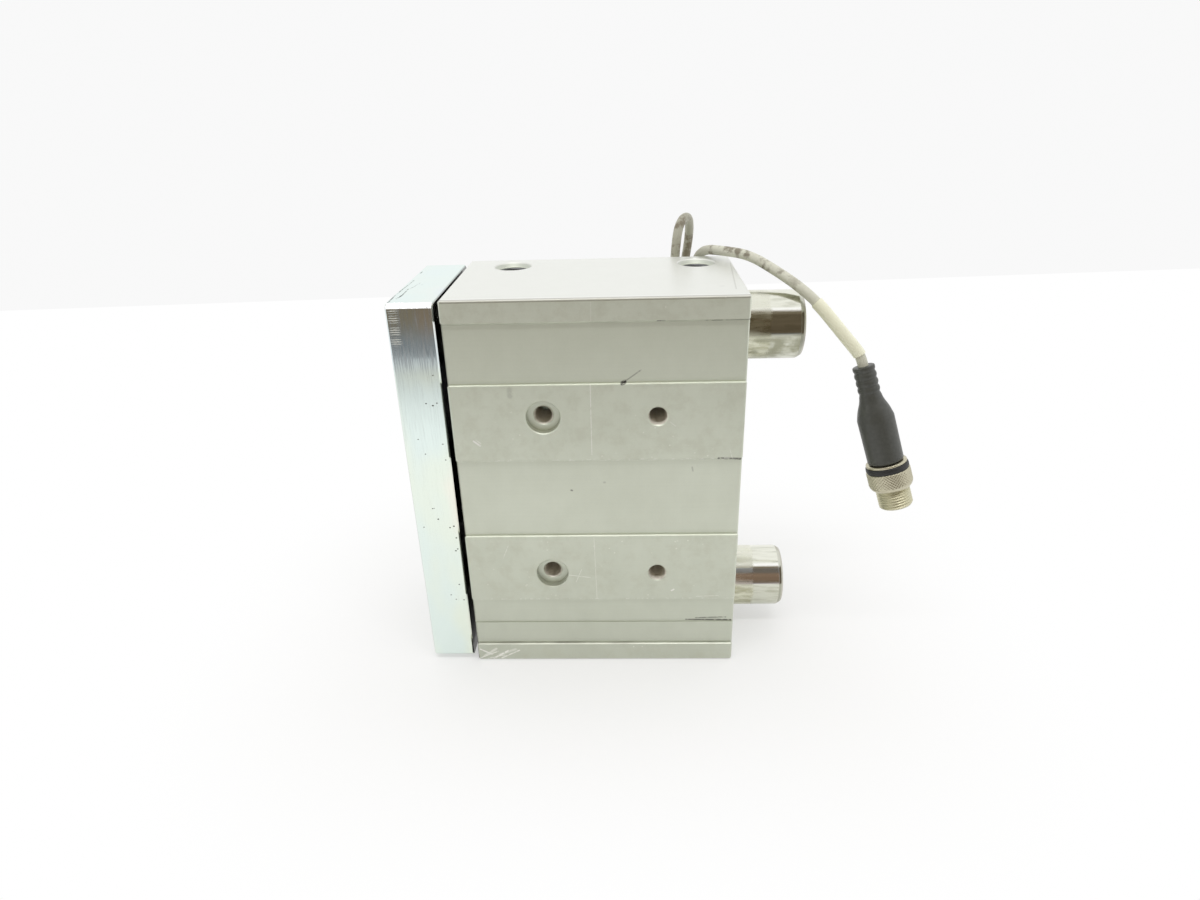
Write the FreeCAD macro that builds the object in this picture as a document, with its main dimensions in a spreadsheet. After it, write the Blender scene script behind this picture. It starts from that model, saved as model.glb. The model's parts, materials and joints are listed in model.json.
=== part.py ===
import FreeCAD, Part
import math
import os
import re

import Sketcher
from FreeCAD import Placement, Rotation, Vector

# Guided pneumatic cylinder, in millimetres.
# X runs along the stroke, from the front plate to the tails of the guide rods. Y runs across and Z is up.
# The origin is on the floor, under the middle of the box of plate, housing and rods.

SIZES = {
    # stroke, bore and the walls round them
    "stroke": 50,
    "bore_diameter": 50,
    "side_wall": 7,
    "bore_to_hole_row": 7.25,
    "hole_row_to_guide": 22.75,
    "guide_to_edge": 19,
    # clearances, all radial
    "running_clearance": 0.03,
    "seat_clearance": 0.02,
    "lip_clearance": 0.05,
    # profile of the housing
    "band_depth": 1,
    "edge_band": 8.1,
    "pad_inward": 16.75,
    "pad_outward": 12.25,
    "step_edge_depth": 0.45,
    "step_edge_height": 0.3,
    "scribe_height": 18.7,
    "scribe_width": 1.25,
    "scribe_depth": 0.3,
    "edge_radius": 1,
    "end_chamfer": 0.5,
    # fixing holes
    "hole_diameter": 6.8,
    "hole_pitch": 40,
    "hole_inset": 32.2,
    "centring_diameter": 12,
    "centring_depth": 2.6,
    "hole_rim": 0.3,
    "head_diameter": 11,
    "head_depth": 9,
    # supply ports
    "port_inset_front": 18.3,
    "port_inset_rear": 13.6,
    "port_core": 11.6,
    "port_rim": 14.8,
    "port_depth": 11,
    "port_wall": 2.5,
    "passage_diameter": 6,
    "passage_above_axis": 6,
    "side_port_offset": 42,
    "side_passage_diameter": 5,
    "side_plug_wall": 0.95,
    "side_plug_sunk": 0.5,
    "side_plug_socket": 6,
    # sensor slots
    "slot_offset": 10,
    "slot_mouth": 5.2,
    "slot_undercut": 0.8,
    "slot_lip": 2,
    "slot_depth": 5,
    # front plate
    "plate_thickness": 16,
    "plate_gap": 2,
    "plate_setback": 1,
    "plate_chamfer": 1.6,
    "plate_edge": 0.5,
    # guide rods, bushes and wipers
    "guide_rod_diameter": 25,
    "rod_tail": 23,
    "rod_tail_chamfer": 1.8,
    "rod_tail_step": 1,
    "rod_edge": 0.5,
    "bush_wall": 1.5,
    "bush_length": 30,
    "wiper_gap": 1,
    "wiper_length": 4.5,
    "wiper_setback": 1,
    # screws through the plate
    "guide_screw_size": 8,
    "guide_screw_length": 25,
    "guide_screw_head": 13,
    "guide_screw_socket": 6,
    "rod_screw_size": 10,
    "rod_screw_length": 25,
    "rod_screw_head": 16,
    "rod_screw_socket": 8,
    "screw_head_sunk": 0.6,
    "screw_hole_play": 0.5,
    "screw_bottom_play": 2.5,
    # covers, retaining rings and bumpers
    "ring_setback": 2,
    "ring_thickness": 2,
    "ring_play": 0.2,
    "ring_groove_depth": 1.5,
    "ring_width": 4.5,
    "ring_gap": 9,
    "ring_ear": 7,
    "ring_ear_hole": 2.5,
    "ring_ear_inset": 0.3,
    "front_cover_length": 10.8,
    "rear_flange_length": 6,
    "rear_boss_length": 4.8,
    "boss_gap": 5,
    "end_clearance": 1,
    "bumper_width": 3,
    "bumper_rim": 1,
    "bumper_seat": 2.5,
    "bumper_stand": 0.7,
    "o_ring_section": 1.9,
    "o_ring_groove_width": 2.6,
    "o_ring_wall": 1.4,
    # piston rod, its bush and seal
    "piston_rod_diameter": 20,
    "rod_bush_wall": 1.5,
    "rod_seal_height": 4,
    "rod_seal_length": 5,
    "spigot_diameter": 12,
    # piston
    "piston_play": 0.25,
    "piston_nose_gap": 5,
    "piston_nose_length": 5,
    "piston_seal_width": 3.2,
    "piston_seal_height": 3.2,
    "piston_seal_inset": 1.2,
    "piston_land": 0.9,
    "magnet_width": 4.4,
    "magnet_height": 2.6,
    "wear_ring_height": 2.1,
    "piston_nut_across": 19,
    "piston_nut_height": 6,
    "piston_nut_room": 1,
    "piston_nut_sunk": 2,
    # proximity sensor
    "sensor_inset": 19,
    "sensor_length": 28,
    "sensor_play": 0.15,
    "clamp_screw_size": 3,
    "clamp_screw_inset": 4,
    "clamp_screw_slot": 0.6,
    # sensor cable and its marker sleeve
    "cable_diameter": 3.7,
    "marker_wall": 0.4,
    "marker_length": 24.6,
    # plug
    "tail_diameter": 7.7,
    "tail_groove_depth": 0.4,
    "tail_length": 10.8,
    "cone_length": 8.6,
    "plug_diameter": 12.9,
    "plug_end_diameter": 12.6,
    "grip_length": 16.6,
    "core_step": 0.8,
    "nut_gap": 0.3,
    "nut_step": 1.8,
    "nut_rim_step": 0.6,
    "nut_rim": 0.9,
    "nut_band": 2.2,
    "nut_band_depth": 0.8,
    "nut_band_drop": 0.25,
    "nut_grip": 5.2,
    "nut_taper": 2,
    "nut_shoulder": 0.4,
    "thread_diameter": 12,
    "thread_length": 7,
    "thread_wall": 1.1,
    "insert_gap": 0.4,
    "insert_length": 3,
    "pin_diameter": 1,
    "pin_circle": 4.6,
    "pin_length": 4.5,
}

# Lengths and places that follow from the sizes above.
WORKED_OUT = {
    "piston_grooves": "2 * (piston_seal_inset + piston_seal_width + piston_land) + magnet_width",
    "piston_length": "piston_nose_length + piston_grooves",
    "ring_stack": "ring_setback + ring_thickness + ring_play",
    "front_stack": "ring_stack + front_cover_length + end_clearance",
    "rear_stack": "end_clearance + rear_boss_length + rear_flange_length + ring_stack",
    "housing_length": "front_stack + stroke + piston_length + rear_stack",
    "housing_width": "bore_diameter + 2 * side_wall",
    "hole_row_offset": "bore_diameter / 2 + bore_to_hole_row",
    "guide_offset": "hole_row_offset + hole_row_to_guide",
    "axis_height": "guide_offset + guide_to_edge",
    "housing_height": "2 * axis_height",
    "front": "-(housing_length + rod_tail - plate_gap - plate_thickness) / 2",
    "rear": "front + housing_length",
    "plate_back": "front - plate_gap",
    "plate_front": "plate_back - plate_thickness",
    "face": "housing_width / 2",
    "floor_face": "face - band_depth",
    "guide_bore": "guide_rod_diameter + 2 * running_clearance + 2 * bush_wall + 2 * seat_clearance",
    "ring_groove_diameter": "bore_diameter + 2 * ring_groove_depth",
    "guide_screw_seat": "guide_screw_size + screw_head_sunk",
    "rod_screw_seat": "rod_screw_size + screw_head_sunk",
    "rod_bush_diameter": "piston_rod_diameter + 2 * running_clearance + 2 * rod_bush_wall",
    "rod_seal_diameter": "piston_rod_diameter + 2 * rod_seal_height",
    "rear_boss_diameter": "bore_diameter - 2 * boss_gap",
    "bumper_outer": "rear_boss_diameter - 2 * bumper_rim",
    "bumper_inner": "bumper_outer - 2 * bumper_width",
    "cover_radius": "bore_diameter / 2 - seat_clearance",
    "o_ring_floor": "bore_diameter / 2 - o_ring_section - 2 * seat_clearance",
    "piston_nose_diameter": "bore_diameter - 2 * piston_nose_gap",
    "piston_nut_recess": "piston_nut_across * 2 / sqrt(3) + 2 * piston_nut_room",
    "piston_nut_recess_depth": "piston_nut_height + piston_nut_sunk",
    "piston_start": "front + front_stack + stroke",
    "port_across": "guide_bore / 2 + port_wall + passage_diameter / 2",
    "port_rear": "housing_length - port_inset_rear",
    "side_plug_length": "face - side_plug_sunk - side_plug_wall - port_across - passage_diameter / 2",
    "slot_inner": "slot_mouth + 2 * slot_undercut",
    "slot_floor": "floor_face - slot_depth",
    "sensor_lift": "slot_depth - slot_lip - sensor_play",
    "marker_diameter": "cable_diameter + 2 * marker_wall",
    "core_diameter": "thread_diameter - 2 * core_step",
    "nut_diameter": "thread_diameter + 2 * nut_step",
    "nut_rim_diameter": "nut_diameter - 2 * nut_rim_step",
    "thread_bore": "thread_diameter - 2 * thread_wall",
    "insert_diameter": "thread_bore - 2 * insert_gap",
    "grip_start": "tail_length + cone_length",
    "grip_end": "grip_start + grip_length",
    "nut_start": "grip_end + nut_gap",
    "band_start": "nut_start + nut_rim",
    "knurl_start": "band_start + nut_band",
    "knurl_end": "knurl_start + nut_grip",
    "thread_start": "knurl_end + nut_taper",
    "plug_end": "thread_start + thread_length",
    "core_end": "thread_start - nut_gap",
}

# The sensor cable's route, from the sensor's end to the plug's tail.
ROUTE = [
    Vector(-6.5, 28.6, 84.0),
    Vector(3.5, 28.6, 84.0),
    Vector(13.0, 34.0, 84.4),
    Vector(22.0, 39.0, 90.0),
    Vector(27.5, 41.0, 101.0),
    Vector(28.9, 40.0, 116.0),
    Vector(27.8, 38.6, 132.0),
    Vector(28.0, 38.4, 148.6),
    Vector(29.9, 44.6, 159.3),
    Vector(34.8, 56.8, 160.3),
    Vector(36.1, 64.4, 150.2),
    Vector(34.6, 65.6, 132.6),
    Vector(34.5, 62.3, 119.4),
    Vector(34.8, 53.4, 114.8),
    Vector(35.0, 44.2, 118.8),
    Vector(35.1, 41.0, 129.6),
    Vector(35.8, 40.4, 141.6),
    Vector(38.2, 34.6, 150.8),
    Vector(45.4, 22.4, 153.4),
    Vector(54.0, 13.0, 152.2),
    Vector(62.74, 3.6, 147.59),
    Vector(69.24, -5.4, 143.99),
    Vector(75.48, -9.6, 138.87),
    Vector(83.54, -14.4, 129.43),
    Vector(88.03, -15.7, 124.34),
    Vector(90.3, -16.33, 121.53),
    Vector(91.32, -17.0, 118.14),
]
PLUG_DIRECTION = ROUTE[-1] - ROUTE[-2]
MARKER_FROM = ROUTE[-5]
MARKER_TO = ROUTE[-2]
MARKER_INSET = -1.6
ARC_SHARE = 0.45
TAIL_RIBS = 4
PIN_COUNT = 4
FULL_TURN = 360

doc = FreeCAD.newDocument("GuidedCylinder")
sheet = doc.addObject("Spreadsheet::Sheet", "Sizes")
for row, (size_name, size) in enumerate(SIZES.items(), start=1):
    sheet.set(f"A{row}", str(size))
    sheet.setAlias(f"A{row}", size_name)
doc.recompute()

nodes = []


# Formulas and bindings


def formula(text):
    """The text as an expression on the sheet, with the worked-out names written out."""

    def spelled(match):
        name = match.group(0)
        if name in WORKED_OUT:
            return f"({formula(WORKED_OUT[name])})"
        if name in SIZES:
            return f"Sizes.{name}"
        return name

    return re.sub(r"[a-z_]+", spelled, text)


def bind(thing, path, text):
    thing.setExpression(path, formula(text))


def place(thing, x="0", y="0", z="0", turn=Rotation()):
    """Puts a node where the formulas say and keeps it for writing."""
    thing.Placement = Placement(Vector(), turn)
    for axis, text in (("x", x), ("y", y), ("z", z)):
        bind(thing, f"Placement.Base.{axis}", text)
    nodes.append(thing)
    return thing


# Sketches


def new_body(label):
    body = doc.addObject("PartDesign::Body", label)
    body.Label = label
    return body


def new_sketch(body, role, offset="0"):
    plane = next(item for item in body.Origin.OriginFeatures if item.Role == role)
    sketch = body.newObject("Sketcher::SketchObject", f"{body.Label}_sketch")
    sketch.AttachmentSupport = [(plane, "")]
    sketch.MapMode = "FlatFace"
    bind(sketch, "AttachmentOffset.Base.z", offset)
    return sketch


def name_size(sketch, constraint, text):
    """Adds one dimension to a sketch and ties it to a formula."""
    index = sketch.addConstraint(constraint)
    name = f"size_{index}"
    sketch.renameConstraint(index, name)
    bind(sketch, f"Constraints.{name}", text)


def fix_point(sketch, geometry, end, x, y):
    name_size(sketch, Sketcher.Constraint("DistanceX", -1, 1, geometry, end, 1.0), x)
    name_size(sketch, Sketcher.Constraint("DistanceY", -1, 1, geometry, end, 1.0), y)


def draw_polygon(sketch, corners):
    """A closed outline whose corners are pairs of formulas."""
    count = len(corners)
    first = sketch.GeometryCount
    ring = [Vector(1, 0, 0)] * count
    for step in range(count):
        angle = 2 * math.pi * step / count
        ring[step] = Vector(math.cos(angle), math.sin(angle), 0)
    sides = [Part.LineSegment(ring[step - 1], ring[step]) for step in range(count)]
    sketch.addGeometry(sides, False)
    joins = []
    for step in range(count):
        following = first + (step + 1) % count
        joins.append(Sketcher.Constraint("Coincident", first + step, 2, following, 1))
    sketch.addConstraint(joins)
    for step, (x, y) in enumerate(corners):
        fix_point(sketch, first + step, 2, x, y)


def draw_circle(sketch, x, y, diameter):
    index = sketch.addGeometry(Part.Circle(Vector(), Vector(0, 0, 1), 1.0), False)
    name_size(sketch, Sketcher.Constraint("Diameter", index, 2.0), diameter)
    fix_point(sketch, index, 3, x, y)


def draw_hexagon(sketch, across):
    corner = f"{across} / sqrt(3)"
    half = f"{across} / (2 * sqrt(3))"
    draw_polygon(
        sketch,
        [
            (corner, "0"),
            (half, f"{across} / 2"),
            (f"-{half}", f"{across} / 2"),
            (f"-{corner}", "0"),
            (f"-{half}", f"-{across} / 2"),
            (half, f"-{across} / 2"),
        ],
    )


# Features


def add_pad(body, sketch, length):
    feature = body.newObject("PartDesign::Pad", f"{body.Label}_pad")
    feature.Profile = sketch
    bind(feature, "Length", length)
    return feature


def add_pocket(body, sketch, depth, along_normal=False):
    feature = body.newObject("PartDesign::Pocket", f"{body.Label}_pocket")
    feature.Profile = sketch
    feature.Reversed = along_normal
    bind(feature, "Length", depth)
    return feature


def drill(body, role, offset, spots, diameter, depth, along_normal=False):
    """Round holes of one size, sunk from one plane."""
    sketch = new_sketch(body, role, offset)
    for x, y in spots:
        draw_circle(sketch, x, y, diameter)
    return add_pocket(body, sketch, depth, along_normal)


def add_edge_feature(body, kind, base, edges, size_property, size_text):
    feature = body.newObject(f"PartDesign::{kind}", f"{body.Label}_{kind.lower()}")
    feature.Base = (base, edges)
    bind(feature, size_property, size_text)
    return feature


def turned(label, corners):
    """A body turned about its own X axis from (distance along, radius) corners."""
    body = new_body(label)
    sketch = new_sketch(body, "XY_Plane")
    draw_polygon(sketch, corners)
    feature = body.newObject("PartDesign::Revolution", f"{label}_turned")
    feature.Profile = sketch
    feature.ReferenceAxis = (sketch, ["H_Axis"])
    feature.Angle = FULL_TURN
    return body


def ring_corners(length, inner, outer):
    return [("0", inner), (length, inner), (length, outer), ("0", outer)]


def edge_names(shape, wanted):
    return [f"Edge{number}" for number, edge in enumerate(shape.Edges, start=1) if wanted(edge)]


# Housing: an extruded profile with milled holes


def slot_corners(middle):
    """One T-slot in the far face, from bottom to top."""
    lip = "floor_face - slot_lip"
    mouth = "slot_mouth / 2"
    inner = "slot_inner / 2"
    return [
        ("floor_face", f"{middle} - {mouth}"),
        (lip, f"{middle} - {mouth}"),
        (lip, f"{middle} - {inner}"),
        ("slot_floor", f"{middle} - {inner}"),
        ("slot_floor", f"{middle} + {inner}"),
        (lip, f"{middle} + {inner}"),
        (lip, f"{middle} + {mouth}"),
        ("floor_face", f"{middle} + {mouth}"),
    ]


def banded_face(side, middle_corners):
    """One wide face from bottom to top: raised pads, with broken edges, between shallow bands."""
    raised = f"{side}face"
    broken = f"{side}(face - step_edge_depth)"
    sunk = f"{side}floor_face"

    def lower_step(height):
        return [(sunk, height), (broken, height), (raised, f"{height} + step_edge_height")]

    def upper_step(height):
        return [(raised, f"{height} - step_edge_height"), (broken, height), (sunk, height)]

    lower_pad = ("axis_height - hole_row_offset - pad_outward", "axis_height - hole_row_offset + pad_inward")
    upper_pad = ("axis_height + hole_row_offset - pad_inward", "axis_height + hole_row_offset + pad_outward")
    corners = [(raised, "0")] + upper_step("edge_band")
    corners += lower_step(lower_pad[0]) + upper_step(lower_pad[1])
    corners += middle_corners
    corners += lower_step(upper_pad[0]) + upper_step(upper_pad[1])
    corners += lower_step("housing_height - edge_band") + [(raised, "housing_height")]
    return corners


def housing_outline():
    slots = slot_corners("(axis_height - slot_offset)") + slot_corners("(axis_height + slot_offset)")
    far = banded_face("", slots)
    near = banded_face("-", [])
    return far + near[::-1]


def make_housing():
    body = new_body("housing")
    profile = new_sketch(body, "YZ_Plane")
    draw_polygon(profile, housing_outline())
    draw_circle(profile, "0", "axis_height", "bore_diameter")
    for side in ("-", "+"):
        draw_circle(profile, "0", f"axis_height {side} guide_offset", "guide_bore")
    block = add_pad(body, profile, "housing_length")
    doc.recompute()

    box = block.Shape.BoundBox

    def is_long_edge(edge):
        ends = [vertex.Point for vertex in edge.Vertexes]
        on_side = all(min(abs(p.y - box.YMin), abs(p.y - box.YMax)) < 1e-6 for p in ends)
        on_cap = all(min(abs(p.z - box.ZMin), abs(p.z - box.ZMax)) < 1e-6 for p in ends)
        return on_side and on_cap and abs(ends[0].x - ends[-1].x) > 1

    rounded = add_edge_feature(
        body, "Fillet", block, edge_names(block.Shape, is_long_edge), "Radius", "edge_radius"
    )
    doc.recompute()

    ends = [face for face in rounded.Shape.Faces if abs(face.normalAt(0, 0).x) > 0.999]
    outline = [edge for face in ends for edge in face.OuterWire.Edges]
    sunk = box.YMax - sheet.band_depth - 1e-6

    def is_outline(edge):
        outside = all(abs(v.Y) > sunk or abs(v.Z - box.Center.z) > box.Center.z - 1e-6 for v in edge.Vertexes)
        return outside and any(edge.isSame(other) for other in outline)

    add_edge_feature(body, "Chamfer", rounded, edge_names(rounded.Shape, is_outline), "Size", "end_chamfer")

    scribe = new_sketch(body, "XZ_Plane", "floor_face")
    draw_polygon(
        scribe,
        [
            ("0", "scribe_height - scribe_width / 2"),
            ("housing_length", "scribe_height - scribe_width / 2"),
            ("housing_length", "scribe_height + scribe_width / 2"),
            ("0", "scribe_height + scribe_width / 2"),
        ],
    )
    add_pocket(body, scribe, "scribe_depth")

    for side in ("front", "rear"):
        start = "ring_setback - ring_play / 2"
        if side == "rear":
            start = "housing_length - ring_setback - ring_thickness - ring_play / 2"
        drill(
            body, "YZ_Plane", start, [("0", "axis_height")],
            "ring_groove_diameter", "ring_thickness + ring_play", along_normal=True,
        )

    rows = ("axis_height - hole_row_offset", "axis_height + hole_row_offset")
    columns = ("hole_inset", "hole_inset + hole_pitch")
    spots = [(x, z) for x in columns for z in rows]
    drill(body, "XZ_Plane", "face", spots, "hole_diameter", "housing_width")
    drill(body, "XZ_Plane", "face", spots[:2], "centring_diameter", "centring_depth")
    drill(body, "XZ_Plane", "-face", spots, "head_diameter", "head_depth", along_normal=True)

    top = [("port_inset_front", "port_across"), ("port_rear", "port_across")]
    drill(body, "XY_Plane", "housing_height", top, "port_core", "port_depth")
    drill(body, "XY_Plane", "housing_height", top, "passage_diameter", "axis_height - passage_above_axis")
    side_height = "axis_height + side_port_offset"
    side = [("port_inset_front", side_height), ("port_rear", side_height)]
    drill(
        body, "XZ_Plane", "-face", side, "port_core", "side_plug_length + side_plug_sunk", along_normal=True
    )
    drill(
        body, "XZ_Plane", "-face", side, "side_passage_diameter", "face - port_across", along_normal=True
    )
    doc.recompute()

    def is_port_mouth(edge):
        curve = edge.Curve
        if not isinstance(curve, Part.Circle):
            return False
        at_top = abs(curve.Center.z - box.ZMax) < 1e-6
        return at_top and abs(curve.Radius - sheet.port_core / 2) < 1e-6

    def is_hole_mouth(edge):
        curve = edge.Curve
        if not isinstance(curve, Part.Circle):
            return False
        deep = curve.Center.y - box.YMin
        wide = abs(curve.Radius - sheet.centring_diameter / 2) < 1e-6
        narrow = abs(curve.Radius - sheet.hole_diameter / 2) < 1e-6
        return (wide or narrow) and abs(deep) < 1e-6 or narrow and abs(deep - sheet.centring_depth) < 1e-6

    bored = body.Tip
    rim = add_edge_feature(
        body, "Chamfer", bored, edge_names(bored.Shape, is_port_mouth), "Size", "(port_rim - port_core) / 2"
    )
    doc.recompute()
    body.Tip = add_edge_feature(
        body, "Chamfer", rim, edge_names(rim.Shape, is_hole_mouth), "Size", "hole_rim"
    )
    return place(body, "front")


make_housing()


# Guide bushes, wipers and rods

for level, sign in (("upper", "+"), ("lower", "-")):
    height = f"axis_height {sign} guide_offset"
    for end in ("front", "rear"):
        bush_start = "front + wiper_setback + wiper_length + wiper_gap"
        wiper_start = "front + wiper_setback"
        if end == "rear":
            bush_start = "rear - wiper_setback - wiper_length - wiper_gap - bush_length"
            wiper_start = "rear - wiper_setback - wiper_length"
        bush = turned(
            f"guide_bush_{level}_{end}",
            ring_corners(
                "bush_length",
                "guide_rod_diameter / 2 + running_clearance",
                "guide_bore / 2 - seat_clearance",
            ),
        )
        place(bush, bush_start, z=height)
        wiper = turned(
            f"guide_wiper_{level}_{end}",
            ring_corners(
                "wiper_length",
                "guide_rod_diameter / 2 + lip_clearance",
                "guide_bore / 2 - seat_clearance",
            ),
        )
        place(wiper, wiper_start, z=height)

    rod_length = "(housing_length + plate_gap + rod_tail)"
    tapped = "guide_screw_size / 2 + seat_clearance"
    tapped_depth = "guide_screw_length - plate_thickness + guide_screw_seat + screw_bottom_play"
    rod_radius = "guide_rod_diameter / 2"
    rod = turned(
        f"guide_rod_{level}",
        [
            (tapped_depth, "0"),
            (tapped_depth, tapped),
            ("0", tapped),
            ("0", f"{rod_radius} - rod_edge"),
            ("rod_edge", rod_radius),
            (f"{rod_length} - rod_tail_chamfer", rod_radius),
            (rod_length, f"{rod_radius} - rod_tail_step"),
            (rod_length, "0"),
        ],
    )
    place(rod, "plate_back", z=height)


# Front plate and its screws


def make_plate():
    body = new_body("front_plate")
    half_width = "face - plate_setback"
    low = "plate_setback"
    high = "housing_height - plate_setback"
    profile = new_sketch(body, "YZ_Plane")
    draw_polygon(
        profile,
        [
            (f"-({half_width})", low),
            (half_width, low),
            (half_width, high),
            (f"-({half_width})", high),
        ],
    )
    block = add_pad(body, profile, "plate_thickness")
    doc.recompute()

    def is_corner(edge):
        return abs(edge.Vertexes[0].X - edge.Vertexes[-1].X) > 1

    corner_edges = edge_names(block.Shape, is_corner)
    bar = add_edge_feature(body, "Chamfer", block, corner_edges, "Size", "plate_chamfer")
    doc.recompute()
    face_edges = edge_names(bar.Shape, lambda edge: not is_corner(edge))
    add_edge_feature(body, "Chamfer", bar, face_edges, "Size", "plate_edge")

    guides = [("0", f"axis_height {sign} guide_offset") for sign in "+-"]
    centre = [("0", "axis_height")]
    corners = [
        (f"{across} hole_pitch / 2", f"axis_height {up} hole_row_offset") for across in "+-" for up in "+-"
    ]
    depth = "plate_thickness"
    drill(body, "YZ_Plane", "0", guides, "guide_screw_size + 2 * screw_hole_play", depth, along_normal=True)
    drill(
        body, "YZ_Plane", "0", guides, "guide_screw_head + 2 * screw_hole_play", "guide_screw_seat",
        along_normal=True,
    )
    drill(body, "YZ_Plane", "0", centre, "rod_screw_size + 2 * screw_hole_play", depth, along_normal=True)
    drill(
        body, "YZ_Plane", "0", centre, "rod_screw_head + 2 * screw_hole_play", "rod_screw_seat",
        along_normal=True,
    )
    drill(body, "YZ_Plane", "0", corners, "hole_diameter", depth, along_normal=True)
    drill(body, "YZ_Plane", "0", corners[1:3], "centring_diameter", "centring_depth", along_normal=True)
    return place(body, "plate_front")


def make_cap_screw(label, kind, height):
    """A cap screw along X with its head in the plate; its head is as long as its thread is wide."""
    size = f"{kind}_size"
    body = turned(
        label,
        [
            ("0", "0"),
            ("0", f"{kind}_head / 2"),
            (size, f"{kind}_head / 2"),
            (size, f"{size} / 2"),
            (f"{size} + {kind}_length", f"{size} / 2"),
            (f"{size} + {kind}_length", "0"),
        ],
    )
    socket = new_sketch(body, "YZ_Plane")
    draw_hexagon(socket, f"{kind}_socket")
    add_pocket(body, socket, f"{size} / 2", along_normal=True)
    return place(body, f"plate_front + {kind}_seat - {size}", z=height)


make_plate()
make_cap_screw("guide_rod_screw_upper", "guide_screw", "axis_height + guide_offset")
make_cap_screw("guide_rod_screw_lower", "guide_screw", "axis_height - guide_offset")
make_cap_screw("piston_rod_screw", "rod_screw", "axis_height")


# Covers that close the bore, with their seals, bumpers and retaining rings


def make_retaining_ring(label, start):
    """An open ring that springs into the groove, with two eared ends."""
    body = new_body(label)
    profile = new_sketch(body, "YZ_Plane")
    draw_circle(profile, "0", "0", "ring_groove_diameter - 2 * seat_clearance")
    draw_circle(profile, "0", "0", "ring_groove_diameter - 2 * seat_clearance - 2 * ring_width")
    add_pad(body, profile, "ring_thickness")
    ear_across = "(ring_gap / 2 + ring_ear / 2)"
    ear_reach = "(ring_groove_diameter / 2 - ring_ear / 2 - ring_ear_inset)"
    ear_down = f"sqrt({ear_reach} ^ 2 - {ear_across} ^ 2)"
    for side in ("", "-"):
        ear = new_sketch(body, "YZ_Plane")
        draw_circle(ear, f"{side}{ear_across}", f"-{ear_down}", "ring_ear")
        add_pad(body, ear, "ring_thickness")
    holes = [(f"{side}{ear_across}", f"-{ear_down}") for side in ("", "-")]
    drill(body, "YZ_Plane", "0", holes, "ring_ear_hole", "ring_thickness", along_normal=True)
    opening = new_sketch(body, "YZ_Plane")
    draw_polygon(
        opening,
        [
            ("-ring_gap / 2", "-ring_groove_diameter"),
            ("ring_gap / 2", "-ring_groove_diameter"),
            ("ring_gap / 2", "-ring_ear"),
            ("-ring_gap / 2", "-ring_ear"),
        ],
    )
    add_pocket(body, opening, "ring_thickness", along_normal=True)
    return place(body, start, z="axis_height")


def make_o_ring(label, middle):
    ring = doc.addObject("Part::Torus", label)
    ring.Label = label
    bind(ring, "Radius1", "bore_diameter / 2 - seat_clearance - o_ring_section / 2")
    bind(ring, "Radius2", "o_ring_section / 2")
    return place(ring, middle, z="axis_height", turn=Rotation(Vector(0, 0, 1), Vector(1, 0, 0)))


def make_bumper(label, start):
    body = turned(
        label,
        ring_corners(
            "bumper_seat - seat_clearance + bumper_stand",
            "bumper_inner / 2 + seat_clearance",
            "bumper_outer / 2 - seat_clearance",
        ),
    )
    return place(body, start, z="axis_height")


def make_front_cover():
    groove_start = "(front_cover_length - bumper_seat - o_ring_wall - o_ring_groove_width)"
    body = turned(
        "front_cover",
        [
            ("0", "rod_seal_diameter / 2"),
            ("rod_seal_length", "rod_seal_diameter / 2"),
            ("rod_seal_length", "rod_bush_diameter / 2"),
            ("front_cover_length", "rod_bush_diameter / 2"),
            ("front_cover_length", "bumper_inner / 2"),
            ("front_cover_length - bumper_seat", "bumper_inner / 2"),
            ("front_cover_length - bumper_seat", "bumper_outer / 2"),
            ("front_cover_length", "bumper_outer / 2"),
            ("front_cover_length", "cover_radius"),
            (f"{groove_start} + o_ring_groove_width", "cover_radius"),
            (f"{groove_start} + o_ring_groove_width", "o_ring_floor"),
            (groove_start, "o_ring_floor"),
            (groove_start, "cover_radius"),
            ("0", "cover_radius"),
        ],
    )
    start = "front + ring_stack"
    place(body, start, z="axis_height")
    make_o_ring("front_cover_o_ring", f"{start} + {groove_start} + o_ring_groove_width / 2")
    make_bumper("front_bumper", f"{start} + front_cover_length - bumper_seat + seat_clearance")
    make_retaining_ring("front_retaining_ring", "front + ring_setback")
    seal = turned(
        "rod_seal",
        ring_corners(
            "rod_seal_length",
            "piston_rod_diameter / 2 + lip_clearance",
            "rod_seal_diameter / 2 - seat_clearance",
        ),
    )
    place(seal, start, z="axis_height")
    bush = turned(
        "rod_bush",
        ring_corners(
            "front_cover_length - rod_seal_length",
            "piston_rod_diameter / 2 + running_clearance",
            "rod_bush_diameter / 2 - seat_clearance",
        ),
    )
    place(bush, f"{start} + rod_seal_length", z="axis_height")


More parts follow.
